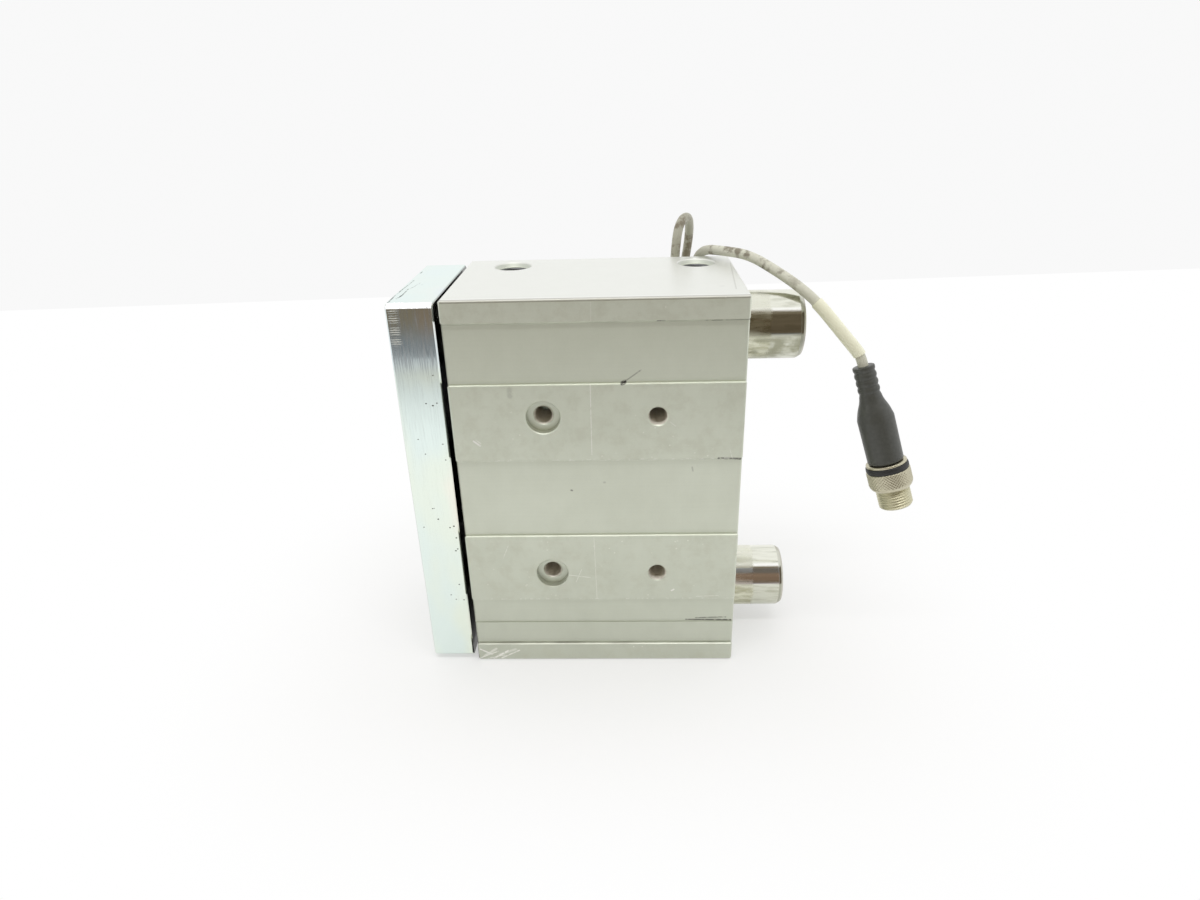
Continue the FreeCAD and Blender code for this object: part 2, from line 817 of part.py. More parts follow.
def make_rear_cover():
    flange_start = "rear_boss_length"
    cover_length = "(rear_boss_length + rear_flange_length)"
    groove_start = "(rear_boss_length + o_ring_wall)"
    body = turned(
        "rear_cover",
        [
            ("0", "0"),
            ("0", "bumper_inner / 2"),
            ("bumper_seat", "bumper_inner / 2"),
            ("bumper_seat", "bumper_outer / 2"),
            ("0", "bumper_outer / 2"),
            ("0", "rear_boss_diameter / 2"),
            (flange_start, "rear_boss_diameter / 2"),
            (flange_start, "cover_radius"),
            (groove_start, "cover_radius"),
            (groove_start, "o_ring_floor"),
            (f"{groove_start} + o_ring_groove_width", "o_ring_floor"),
            (f"{groove_start} + o_ring_groove_width", "cover_radius"),
            (cover_length, "cover_radius"),
            (cover_length, "0"),
        ],
    )
    start = f"rear - ring_stack - {cover_length}"
    place(body, start, z="axis_height")
    make_o_ring("rear_cover_o_ring", f"{start} + {groove_start} + o_ring_groove_width / 2")
    make_bumper("rear_bumper", f"{start} - bumper_stand")
    make_retaining_ring("rear_retaining_ring", "rear - ring_setback - ring_thickness")


make_front_cover()
make_rear_cover()


# Piston rod and piston


def make_piston_rod():
    rod_length = "(plate_gap + front_stack + stroke)"
    nut_end = "piston_length - piston_nut_recess_depth + piston_nut_height"
    tapped = "rod_screw_size / 2 + seat_clearance"
    tapped_depth = "rod_screw_length - plate_thickness + rod_screw_seat + screw_bottom_play"
    body = turned(
        "piston_rod",
        [
            (tapped_depth, "0"),
            (tapped_depth, tapped),
            ("0", tapped),
            ("0", "piston_rod_diameter / 2 - rod_edge"),
            ("rod_edge", "piston_rod_diameter / 2"),
            (rod_length, "piston_rod_diameter / 2"),
            (rod_length, "spigot_diameter / 2"),
            (f"{rod_length} + {nut_end}", "spigot_diameter / 2"),
            (f"{rod_length} + {nut_end}", "0"),
        ],
    )
    place(body, "plate_back", z="axis_height")


def make_piston():
    outer = "(bore_diameter / 2 - piston_play)"
    seal_floor = f"({outer} - piston_seal_height)"
    magnet_floor = "(bore_diameter / 2 - lip_clearance - wear_ring_height - magnet_height - 2 * seat_clearance)"
    front_seal = "(piston_nose_length + piston_seal_inset)"
    rear_seal = "(piston_length - piston_seal_inset - piston_seal_width)"
    magnet = f"({front_seal} + piston_seal_width + piston_land)"
    recess = "piston_length - piston_nut_recess_depth"
    corners = [
        ("0", "spigot_diameter / 2 + seat_clearance"),
        (recess, "spigot_diameter / 2 + seat_clearance"),
        (recess, "piston_nut_recess / 2"),
        ("piston_length", "piston_nut_recess / 2"),
        ("piston_length", outer),
    ]
    for start, width, floor in (
        (rear_seal, "piston_seal_width", seal_floor),
        (magnet, "magnet_width", magnet_floor),
        (front_seal, "piston_seal_width", seal_floor),
    ):
        corners += [
            (f"{start} + {width}", outer),
            (f"{start} + {width}", floor),
            (start, floor),
            (start, outer),
        ]
    corners += [
        ("piston_nose_length", outer),
        ("piston_nose_length", "piston_nose_diameter / 2"),
        ("0", "piston_nose_diameter / 2"),
    ]
    place(turned("piston", corners), "piston_start", z="axis_height")

    bore_side = "bore_diameter / 2 - lip_clearance"
    side_play = "seat_clearance"
    for label, start, width, inner, outer_edge in (
        ("piston_seal_front", front_seal, "piston_seal_width", f"{seal_floor} + seat_clearance", bore_side),
        ("piston_seal_rear", rear_seal, "piston_seal_width", f"{seal_floor} + seat_clearance", bore_side),
        (
            "piston_magnet", magnet, "magnet_width",
            f"{magnet_floor} + seat_clearance", f"{magnet_floor} + seat_clearance + magnet_height",
        ),
        ("piston_wear_ring", magnet, "magnet_width", f"{bore_side} - wear_ring_height", bore_side),
    ):
        body = turned(label, ring_corners(f"{width} - 2 * {side_play}", inner, outer_edge))
        place(body, f"piston_start + {start} + {side_play}", z="axis_height")

    nut = new_body("piston_nut")
    profile = new_sketch(nut, "YZ_Plane")
    draw_hexagon(profile, "piston_nut_across")
    draw_circle(profile, "0", "0", "spigot_diameter + 2 * seat_clearance")
    add_pad(nut, profile, "piston_nut_height")
    place(nut, f"piston_start + {recess}", z="axis_height")


make_piston_rod()
make_piston()


# Screw plugs in the spare ports of the far face

for end, distance in (("front", "port_inset_front"), ("rear", "port_rear")):
    plug = turned(
        f"port_plug_{end}",
        [
            ("0", "0"),
            ("side_plug_length", "0"),
            ("side_plug_length", "port_core / 2 - seat_clearance"),
            ("0", "port_core / 2 - seat_clearance"),
        ],
    )
    hollow = new_sketch(plug, "YZ_Plane")
    draw_hexagon(hollow, "side_plug_socket")
    add_pocket(plug, hollow, "side_plug_length / 2", along_normal=True)
    place(
        plug,
        f"front + {distance}",
        "face - side_plug_sunk",
        "axis_height + side_port_offset",
        Rotation(Vector(1, 0, 0), Vector(0, -1, 0)),
    )


# Proximity sensor in the upper slot, with the screw that clamps it


def make_sensor():
    body = new_body("proximity_sensor")
    neck = "slot_mouth / 2 - sensor_play"
    head = "slot_inner / 2 - sensor_play"
    profile = new_sketch(body, "YZ_Plane")
    draw_polygon(
        profile,
        [
            ("seat_clearance", f"-({head})"),
            ("sensor_lift", f"-({head})"),
            ("sensor_lift", f"-({neck})"),
            ("slot_depth - sensor_play", f"-({neck})"),
            ("slot_depth - sensor_play", neck),
            ("sensor_lift", neck),
            ("sensor_lift", head),
            ("seat_clearance", head),
        ],
    )
    add_pad(body, profile, "sensor_length")
    drill(
        body, "XZ_Plane", "0", [("clamp_screw_inset", "0")], "clamp_screw_size + 2 * seat_clearance", "slot_depth"
    )
    place(body, "front + sensor_inset", "slot_floor", "axis_height + slot_offset")

    screw = turned(
        "sensor_clamp_screw",
        [
            ("0", "0"),
            ("slot_depth - 2 * sensor_play", "0"),
            ("slot_depth - 2 * sensor_play", "clamp_screw_size / 2"),
            ("0", "clamp_screw_size / 2"),
        ],
    )
    slot = new_sketch(screw, "YZ_Plane", "slot_depth - 2 * sensor_play")
    draw_polygon(
        slot,
        [
            ("-clamp_screw_size", "-clamp_screw_slot / 2"),
            ("clamp_screw_size", "-clamp_screw_slot / 2"),
            ("clamp_screw_size", "clamp_screw_slot / 2"),
            ("-clamp_screw_size", "clamp_screw_slot / 2"),
        ],
    )
    add_pocket(screw, slot, "clamp_screw_size / 3")
    place(
        screw,
        "front + sensor_inset + clamp_screw_inset",
        "slot_floor + seat_clearance",
        "axis_height + slot_offset",
        Rotation(Vector(1, 0, 0), Vector(0, 1, 0)),
    )


make_sensor()


# Sensor cable: straight runs joined by tangent arcs


def make_cable():
    radius = sheet.cable_diameter / 2
    edges = []
    length = 0
    bends = []
    start = ROUTE[0]
    for before, corner, after in zip(ROUTE, ROUTE[1:], ROUTE[2:]):
        arriving = (corner - before).normalize()
        leaving = (after - corner).normalize()
        half_turn = arriving.getAngle(leaving) / 2
        reach = ARC_SHARE * min((corner - before).Length, (after - corner).Length)
        bend = reach / math.tan(half_turn)
        bends.append(bend)
        first = corner - arriving * reach
        last = corner + leaving * reach
        inward = (leaving - arriving).normalize()
        middle = corner + inward * (bend / math.cos(half_turn) - bend)
        edges.append(Part.LineSegment(start, first).toShape())
        edges.append(Part.Arc(first, middle, last).toShape())
        length += (first - start).Length + 2 * half_turn * bend
        start = last
    edges.append(Part.LineSegment(start, ROUTE[-1]).toShape())
    length += (ROUTE[-1] - start).Length

    path = Part.Wire(edges)
    section = Part.Wire([Part.Circle(ROUTE[0], ROUTE[1] - ROUTE[0], radius).toShape()])
    tube = path.makePipeShell([section], True, True)
    expected = math.pi * radius**2 * length
    print(f"cable length {length:.1f}, volume over section times length {tube.Volume / expected:.4f}")
    print("cable bend radii", " ".join(f"{bend:.1f}" for bend in bends))
    cable = doc.addObject("Part::Feature", "sensor_cable")
    cable.Label = "sensor_cable"
    cable.Shape = tube
    nodes.append(cable)


make_cable()


# Marker sleeve on the cable's straight stretch, and the round plug at its end


def place_at(thing, point, direction):
    thing.Placement = Placement(point, Rotation(Vector(1, 0, 0), direction))
    nodes.append(thing)
    return thing


marker_direction = (MARKER_TO - MARKER_FROM).normalize()
marker = turned("cable_marker", ring_corners("marker_length", "cable_diameter / 2", "marker_diameter / 2"))
place_at(marker, MARKER_FROM + marker_direction * MARKER_INSET, marker_direction)


def make_plug_body():
    rib = f"(tail_length / {TAIL_RIBS})"
    outer = "tail_diameter / 2"
    inner = "tail_diameter / 2 - tail_groove_depth"
    corners = [("0", "0"), ("0", outer)]
    for number in range(TAIL_RIBS):
        corners += [
            (f"{rib} * {number} + {rib} * 0.6", outer),
            (f"{rib} * {number} + {rib} * 0.7", inner),
            (f"{rib} * {number} + {rib} * 0.9", inner),
            (f"{rib} * {number + 1}", outer),
        ]
    corners += [
        ("grip_start", "plug_diameter / 2"),
        ("grip_end", "plug_end_diameter / 2"),
        ("grip_end", "core_diameter / 2"),
        ("core_end", "core_diameter / 2"),
        ("core_end", "0"),
    ]
    return turned("plug_body", corners)


def make_coupling_nut():
    band_floor = "nut_diameter / 2 - nut_band_depth"
    corners = [
        ("nut_start", "core_diameter / 2 + nut_gap"),
        ("thread_start", "core_diameter / 2 + nut_gap"),
        ("thread_start", "thread_bore / 2"),
        ("plug_end", "thread_bore / 2"),
        ("plug_end", "thread_diameter / 2 - rod_edge"),
        ("plug_end - rod_edge", "thread_diameter / 2"),
        ("thread_start", "thread_diameter / 2"),
        ("thread_start", "thread_diameter / 2 + nut_shoulder"),
        ("knurl_end", "nut_diameter / 2"),
        ("knurl_start", "nut_diameter / 2"),
        ("knurl_start", band_floor),
        ("band_start", band_floor),
        ("band_start", "nut_rim_diameter / 2"),
        ("nut_start", "nut_rim_diameter / 2"),
    ]
    return turned("coupling_nut", corners)


def make_pins():
    pins = []
    for number in range(PIN_COUNT):
        pin = doc.addObject("Part::Cylinder", f"contact_pin_{number + 1}")
        bind(pin, "Radius", "pin_diameter / 2")
        bind(pin, "Height", "pin_length")
        angle = FULL_TURN * number / PIN_COUNT
        pin.Placement.Rotation = Rotation(Vector(0, 0, 1), Vector(1, 0, 0))
        bind(pin, "Placement.Base.x", "core_end + insert_length")
        bind(pin, "Placement.Base.y", f"pin_circle / 2 * cos({angle} deg)")
        bind(pin, "Placement.Base.z", f"pin_circle / 2 * sin({angle} deg)")
        pins.append(pin)
    group = doc.addObject("Part::Compound", "contact_pins")
    group.Label = "contact_pins"
    group.Links = pins
    return group


insert = turned(
    "plug_insert",
    [
        ("core_end", "0"),
        ("core_end + insert_length", "0"),
        ("core_end + insert_length", "insert_diameter / 2"),
        ("core_end", "insert_diameter / 2"),
    ],
)
band = turned(
    "nut_band",
    [
        ("band_start", "nut_diameter / 2 - nut_band_depth + seat_clearance"),
        ("knurl_start", "nut_diameter / 2 - nut_band_depth + seat_clearance"),
        ("knurl_start", "nut_diameter / 2 - nut_band_drop"),
        ("band_start", "nut_diameter / 2 - nut_band_drop"),
    ],
)
for piece in (make_plug_body(), insert, make_pins(), make_coupling_nut(), band):
    place_at(piece, ROUTE[-1], PLUG_DIRECTION)


# Checks, then one file for each node

doc.recompute()
for thing in doc.Objects:
    if "Invalid" in thing.State or "Error" in thing.State:
        raise RuntimeError(f"{thing.Name} failed: {thing.State}")
    if thing.TypeId == "PartDesign::Pocket" and thing.BaseFeature.Shape.Volume - thing.Shape.Volume < 0.01:
        raise RuntimeError(f"{thing.Name} cuts nothing")
for node in nodes:
    if node.Shape.isNull() or not node.Shape.isValid():
        raise RuntimeError(f"{node.Label} has no valid shape")

os.makedirs("parts", exist_ok=True)
for node in nodes:
    node.Shape.exportStep(f"parts/{node.Label}.step")
print(len(nodes), "nodes")
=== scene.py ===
import json
import math

import bpy
from mathutils import Matrix, Vector


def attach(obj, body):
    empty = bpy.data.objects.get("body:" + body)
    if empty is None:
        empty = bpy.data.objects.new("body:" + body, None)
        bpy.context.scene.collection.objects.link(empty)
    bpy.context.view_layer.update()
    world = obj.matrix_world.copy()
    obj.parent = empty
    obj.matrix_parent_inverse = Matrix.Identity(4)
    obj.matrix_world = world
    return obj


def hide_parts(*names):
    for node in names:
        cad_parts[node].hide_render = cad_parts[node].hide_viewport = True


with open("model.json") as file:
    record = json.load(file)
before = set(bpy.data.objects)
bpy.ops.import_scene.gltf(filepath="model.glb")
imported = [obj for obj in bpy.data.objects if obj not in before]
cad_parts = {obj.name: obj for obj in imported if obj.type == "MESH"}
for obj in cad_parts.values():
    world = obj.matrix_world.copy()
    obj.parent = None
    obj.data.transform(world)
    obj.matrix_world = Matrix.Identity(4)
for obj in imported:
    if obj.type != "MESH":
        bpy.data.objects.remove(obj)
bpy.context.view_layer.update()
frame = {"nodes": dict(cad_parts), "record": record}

# Looks of the guided cylinder. Lengths are millimetres in the part's frame, unless a comment says metres.
MM = 0.001

# Camera of the photograph, which is taken as 1200 pixels wide; its nearest distance is in metres
PHOTO_WIDTH = 1200
FOCAL_PIXELS = 772.75
SENSOR_WIDTH = 36.0
CLIP_START = 0.01
CAMERA_PLACE = Vector((8.0, -278.5, 209.9)) * MM
CAMERA_FORWARD = Vector((-0.0359, 0.9040, -0.4261))
CAMERA_RIGHT = Vector((0.9993, 0.0273, -0.0263))

# Sensor cable: its diameter, and the control points of its spline from sensor to plug
CABLE_DIAMETER = 3.7
CABLE_ROUTE = [
    (-6.5, 28.6, 84.0),
    (3.5, 28.6, 84.0),
    (13.0, 34.0, 84.4),
    (22.0, 39.0, 90.0),
    (27.5, 41.0, 101.0),
    (28.9, 40.0, 116.0),
    (27.8, 38.6, 132.0),
    (28.0, 38.4, 148.6),
    (29.9, 44.6, 159.3),
    (34.8, 56.8, 160.3),
    (35.8, 64.4, 150.2),
    (33.0, 65.6, 132.6),
    (34.5, 62.3, 119.4),
    (34.8, 53.4, 114.8),
    (35.0, 44.2, 118.8),
    (35.1, 41.0, 129.6),
    (35.8, 40.4, 141.6),
    (38.2, 34.6, 150.2),
    (45.4, 22.4, 151.7),
    (54.0, 13.0, 151.8),
    (62.74, 3.6, 147.59),
    (69.24, -5.4, 143.99),
    (75.48, -9.6, 138.87),
    (83.54, -14.4, 129.43),
    (88.03, -15.7, 124.34),
    (90.3, -16.33, 121.53),
    (91.32, -17.0, 118.14),
]
PLUG_TAIL = Vector(CABLE_ROUTE[-1])
PLUG_AXIS = (PLUG_TAIL - Vector(CABLE_ROUTE[-2])).normalized()

# Fixing holes of the near face: each column's x and the y where its thread begins, and the rows' heights
HOLE_COLUMNS = ((-21.3, -29.3), (18.7, -31.6))
HOLE_ROWS = (41.75, 106.25)

# Open ports of the top: their x, and the y that they share
PORTS = {"front": -35.2, "rear": 34.9}
PORT_Y = 19.55

# Node trees: soft marks have their full strength up to this share of their reach
SPECK_CORE = 0.5
LINE_CORE = 0.3
BAND_CORE = 0.2

# A crevice begins where this share of the surroundings is open, and is full where only the second one is
CREVICE_START = 0.8
CREVICE_FULL = 0.5
CREVICE_RAYS = 8

# Levels between which most of a noise lies, and nearly all of it
MIDDLE_LEVELS = (0.3, 0.7)
WIDE_LEVELS = (0.25, 0.75)
RING_DETAIL = 3.0


def grey(level):
    return (level, level, level)


def filled(place):
    """A place with 0 for each coordinate that is None."""
    return Vector(0.0 if value is None else value for value in place)


class Paint:
    """A material's node tree, built one small step at a time. Places are in millimetres."""

    def __init__(self, name, metallic=0.0):
        self.material = bpy.data.materials.new(name)
        self.material.use_nodes = True
        self.tree = self.material.node_tree
        self.tree.nodes.clear()
        self.shader = self.add("ShaderNodeBsdfPrincipled")
        self.output = self.add("ShaderNodeOutputMaterial")
        self.tree.links.new(self.shader.outputs[0], self.output.inputs[0])
        self.put("Metallic", metallic)
        coordinates = self.add("ShaderNodeTexCoord")
        self.place = self.vector("SCALE", coordinates.outputs["Object"], scale=1 / MM)
        split = self.add("ShaderNodeSeparateXYZ")
        self.set(split.inputs[0], self.place)
        self.x, self.y, self.z = split.outputs

    def add(self, kind, **settings):
        node = self.tree.nodes.new(kind)
        for key, setting in settings.items():
            setattr(node, key, setting)
        return node

    def set(self, socket, source):
        """Links a socket, or writes a plain number or colour into it."""
        if isinstance(source, bpy.types.NodeSocket):
            self.tree.links.new(source, socket)
        elif socket.type == "RGBA":
            socket.default_value = (*source, 1.0)
        else:
            socket.default_value = source

    def put(self, name, source):
        """Sets one of the shader's own sockets."""
        self.set(self.shader.inputs[name], source)

    def vector(self, operation, first, second=None, scale=None):
        node = self.add("ShaderNodeVectorMath", operation=operation)
        self.set(node.inputs[0], first)
        if second is not None:
            self.set(node.inputs[1], second)
        if scale is not None:
            self.set(node.inputs["Scale"], scale)
        single = operation in ("DOT_PRODUCT", "LENGTH", "DISTANCE")
        return node.outputs["Value" if single else "Vector"]

    def math(self, operation, first, second=None, clamp=False):
        node = self.add("ShaderNodeMath", operation=operation, use_clamp=clamp)
        self.set(node.inputs[0], first)
        if second is not None:
            self.set(node.inputs[1], second)
        return node.outputs[0]

    def fold(self, operation, parts):
        """Joins all the parts, one after the other, with one operation."""
        result, *others = parts
        for part in others:
            result = self.math(operation, result, part)
        return result

    def total(self, *parts):
        return self.fold("ADD", parts)

    def product(self, *parts):
        return self.fold("MULTIPLY", parts)

    def largest(self, *parts):
        return self.fold("MAXIMUM", parts)

    def weighted(self, *pairs):
        """The sum of values, each of them times its share."""
        return self.total(*(self.product(value, share) for value, share in pairs))

    def ramp(self, value, start, end, first=0.0, last=1.0):
        """Goes smoothly from first to last as the value goes from start to end."""
        node = self.add("ShaderNodeMapRange", interpolation_type="SMOOTHSTEP")
        for socket, number in zip(node.inputs, (value, start, end, first, last)):
            self.set(socket, number)
        return node.outputs[0]

    def noise(self, size, detail=3.0, stretch=(1, 1, 1), rough=0.55, shift=0.0):
        """Noise with features of about that size in millimetres, longer where stretch is over 1."""
        mapping = self.add("ShaderNodeMapping")
        self.set(mapping.inputs["Vector"], self.place)
        self.set(mapping.inputs["Location"], (shift, shift, shift))
        self.set(mapping.inputs["Scale"], tuple(1 / (size * factor) for factor in stretch))
        node = self.add("ShaderNodeTexNoise")
        self.set(node.inputs["Vector"], mapping.outputs[0])
        self.set(node.inputs["Scale"], 1.0)
        self.set(node.inputs["Detail"], detail)
        self.set(node.inputs["Roughness"], rough)
        return node.outputs[0]

    def patches(self, start, end, **noise):
        """Patches of noise, which begin at one level of it and are full at another."""
        return self.ramp(self.noise(**noise), start, end)

    def specks(self, size, radius):
        """Round specks, one in each cell of that size; the radius is a share of the cell."""
        node = self.add("ShaderNodeTexVoronoi")
        self.set(node.inputs["Vector"], self.place)
        self.set(node.inputs["Scale"], 1 / size)
        return self.ramp(node.outputs["Distance"], radius, radius * SPECK_CORE)

    def mix(self, factor, first, second):
        node = self.add("ShaderNodeMix", data_type="RGBA")
        self.set(node.inputs["Factor"], factor)
        colours = [socket for socket in node.inputs if socket.type == "RGBA"]
        self.set(colours[0], first)
        self.set(colours[1], second)
        return next(socket for socket in node.outputs if socket.type == "RGBA")

    def tint(self, colour, cover, *masks):
        """Lays a cover, which is a colour and its strength, over a colour where all the masks are 1."""
        shade, strength = cover
        return self.mix(self.product(*masks, strength), colour, shade)

    def flatten(self, centre):
        """The place without the coordinates that are None in the centre."""
        return self.vector("MULTIPLY", self.place, tuple(0.0 if value is None else 1.0 for value in centre))

    def stroke(self, start, end, width):
        """A soft line between two places; a coordinate given as None is left out of the distance."""
        run = filled(end) - filled(start)
        away = self.vector("SUBTRACT", self.flatten(start), tuple(filled(start)))
        share = self.vector("DOT_PRODUCT", away, tuple(run / run.length_squared))
        share = self.math("ADD", share, 0.0, clamp=True)
        along = self.vector("SCALE", tuple(run), scale=share)
        distance = self.vector("LENGTH", self.vector("SUBTRACT", away, along))
        return self.ramp(distance, width, width * LINE_CORE)

    def strokes(self, marks, flat_axis=1):
        """The strongest of several lines on a flat face; a mark is two places, a width and a strength."""
        strongest = 0.0
        for *places, width, strength in marks:
            start = places[:2]
            end = places[2:]
            start.insert(flat_axis, None)
            end.insert(flat_axis, None)
            line = self.stroke(start, end, width)
            strongest = self.math("MAXIMUM", strongest, self.product(line, strength))
        return strongest

    def gap(self, centre):
        """Distance from the line through a centre along the coordinate that is None."""
        return self.vector("DISTANCE", self.flatten(centre), tuple(filled(centre)))

    def rings(self, value, size):
        """Noise that changes with one value only, with features of about that size in millimetres."""
        node = self.add("ShaderNodeTexNoise", noise_dimensions="1D")
        self.set(node.inputs["W"], self.math("DIVIDE", value, size))
        self.set(node.inputs["Scale"], 1.0)
        self.set(node.inputs["Detail"], RING_DETAIL)
        return node.outputs[0]

    def near_to(self, value, middle, width):
        """A soft band round one value."""
        away = self.math("ABSOLUTE", self.math("SUBTRACT", value, middle))
        return self.ramp(away, width, width * BAND_CORE)

    def bands(self, value, middles, width):
        """Soft bands round several values."""
        return self.largest(*(self.near_to(value, middle, width) for middle in middles))

    def hoops(self, centres, radius, width):
        """Soft rings round several centres."""
        return self.largest(*(self.near_to(self.gap(centre), radius, width) for centre in centres))

    def crevice(self, reach):
        """1 where another surface stands closer than about that many millimetres."""
        node = self.add("ShaderNodeAmbientOcclusion", samples=CREVICE_RAYS)
        self.set(node.inputs["Distance"], reach * MM)
        return self.ramp(node.outputs["AO"], CREVICE_START, CREVICE_FULL)

    def bump(self, height, depth):
        """Raises the surface by up to that many millimetres."""
        node = self.add("ShaderNodeBump")
        self.set(node.inputs["Strength"], 1.0)
        self.set(node.inputs["Distance"], depth * MM)
        self.set(node.inputs["Height"], height)
        self.put("Normal", node.outputs[0])


# Housing: matt anodised extrusion with handling marks on its near face, and with painted light and shade: a
# darker foot, a lighter top and upper band, a darker top bevel, and painted shade in the seats, the port
# mouths and the gap at its front. A zone is a pair of coordinates between which a mask grows from 0 to 1;
# the zone of a bevel goes by z less y.
HOUSING_FRONT_ZONE = (-53.1, -53.3)
NEAR_ZONE = (-29.0, -30.5)
PAD_ZONE = (-31.4, -31.7)
SEAT_ZONE = (-31.7, -31.4)
TOP_ZONE = (147.4, 147.8)
SUNK_ZONE = (147.85, 147.6)
RAISED_ZONE = (139.9, 140.4)
FOOT_SHADE_ZONE = (75.0, 0.0)
BEVEL_ZONE = (178.95, 179.1)
GAP_REACH = 12.0
BAND_EDGES = (8.1, 139.9)
PAD_UNDERSIDES = (29.6, 89.6)
SEAT_CENTRES = [(HOLE_COLUMNS[0][0], None, height) for height in HOLE_ROWS]
SEAT_RADIUS = 5.9
PORT_CENTRES = [(place, PORT_Y, None) for place in PORTS.values()]
PORT_RIM_RADIUS = 6.6
TOP_MARKS = [
    (47.6, 17.5, 44.5, -23.6, 0.35, 0.3),
    (39.8, -19.2, 40.9, -19.0, 0.6, 0.2),
]
DARK_MARKS = [
    (6.4, 118.4, 7.3, 118.9, 0.85, 1.0),
    (7.3, 118.9, 12.8, 122.9, 0.35, 0.4),
    (40.2, 89.7, 47.8, 89.4, 0.85, 0.95),
    (33.5, 89.3, 41.0, 89.6, 0.3, 0.5),
    (30.1, 19.0, 47.6, 18.6, 0.5, 0.8),
    (33.9, 19.9, 45.6, 20.2, 0.35, 0.7),
    (18.2, 140.0, 20.6, 140.0, 0.4, 0.9),
    (33.7, 139.7, 48.4, 139.8, 0.3, 0.5),
    (-32.2, 114.6, -32.1, 116.8, 1.5, 0.16),
    (-12.7, 77.2, -12.4, 77.1, 0.5, 0.6),
    (30.9, 86.0, 31.2, 84.4, 0.4, 0.25),
    (-0.7, 80.3, -0.4, 80.3, 0.6, 0.2),
]
LIGHT_MARKS = [
    (-4.7, 91.8, -4.5, 118.2, 0.22, 0.75),
    (-5.0, 57.3, -4.6, 30.2, 0.2, 0.45),
    (-3.6, 140.6, -3.5, 146.7, 0.25, 0.3),
    (-52.4, 5.4, -47.9, 2.9, 0.5, 0.9),
    (-52.7, 1.0, -45.2, 4.4, 0.35, 0.9),
    (-47.1, 0.9, -41.2, 4.6, 0.6, 1.0),
    (-44.0, 1.0, -36.7, 4.8, 0.45, 0.9),
    (-49.6, 0.8, -42.8, 2.4, 0.3, 0.8),
    (-39.7, 48.8, -37.4, 54.3, 0.18, 0.6),
    (-15.0, 41.0, -6.9, 39.8, 0.25, 0.6),
    (-12.4, 37.8, -10.1, 43.5, 0.2, 0.5),
    (24.2, 33.6, 25.0, 34.1, 0.5, 0.8),
    (33.7, 30.8, 42.2, 31.1, 0.2, 0.5),
    (39.9, 29.1, 45.2, 29.8, 0.18, 0.5),
    (-46.3, 97.7, -44.2, 95.9, 0.5, 0.9),
    (-45.4, 98.1, -43.9, 96.8, 0.3, 0.7),
    (43.8, 93.5, 44.8, 89.9, 0.2, 0.5),
    (22.8, 104.1, 24.7, 102.5, 0.2, 0.5),
    (-51.0, 2.0, -46.0, 5.6, 0.8, 0.6),
    (-45.0, 2.6, -38.0, 5.4, 0.8, 0.5),
]
ALUMINIUM_DARK = (0.61, 0.645, 0.535)
ALUMINIUM_LIGHT = (0.79, 0.83, 0.71)
BROAD_SHARE = 0.4
CLOUD_SHARE = 0.3
DRAWN_SHARE = 0.12
GRAIN_SHARE = 0.18
# Covers of painted shade and painted light: a darker foot, a lighter top and upper band, and a darker top
# bevel
FOOT_SHADE_COVER = ((0.22, 0.23, 0.19), 0.23)
TOP_LIGHT_COVER = ((0.83, 0.83, 0.82), 0.6)
RAISED_LIGHT_COVER = ((0.98, 1.0, 0.93), 0.13)
BEVEL_SHADE_COVER = ((0.36, 0.35, 0.31), 0.6)
SOIL_COVER = ((0.50, 0.50, 0.38), 0.24)
FLECK_COVER = ((0.93, 0.94, 0.86), 0.5)
PORT_MOUTH_SHADE_COVER = ((0.3, 0.31, 0.3), 0.36)
MARK_AND_SHADE_COLOUR = (0.2, 0.19, 0.14)
BAND_LINE_STRENGTH = 0.45
SEAT_SHADE_STRENGTH = 0.27
NICK_STRENGTH = 0.6
DARK_MARK_COLOUR = (0.045, 0.04, 0.03)
DARK_MARK_ROUGHNESS = 0.3
LIGHT_MARK_COLOUR = (0.93, 0.93, 0.88)
HOUSING_GAP_SHADE = (0.02, 0.02, 0.018)


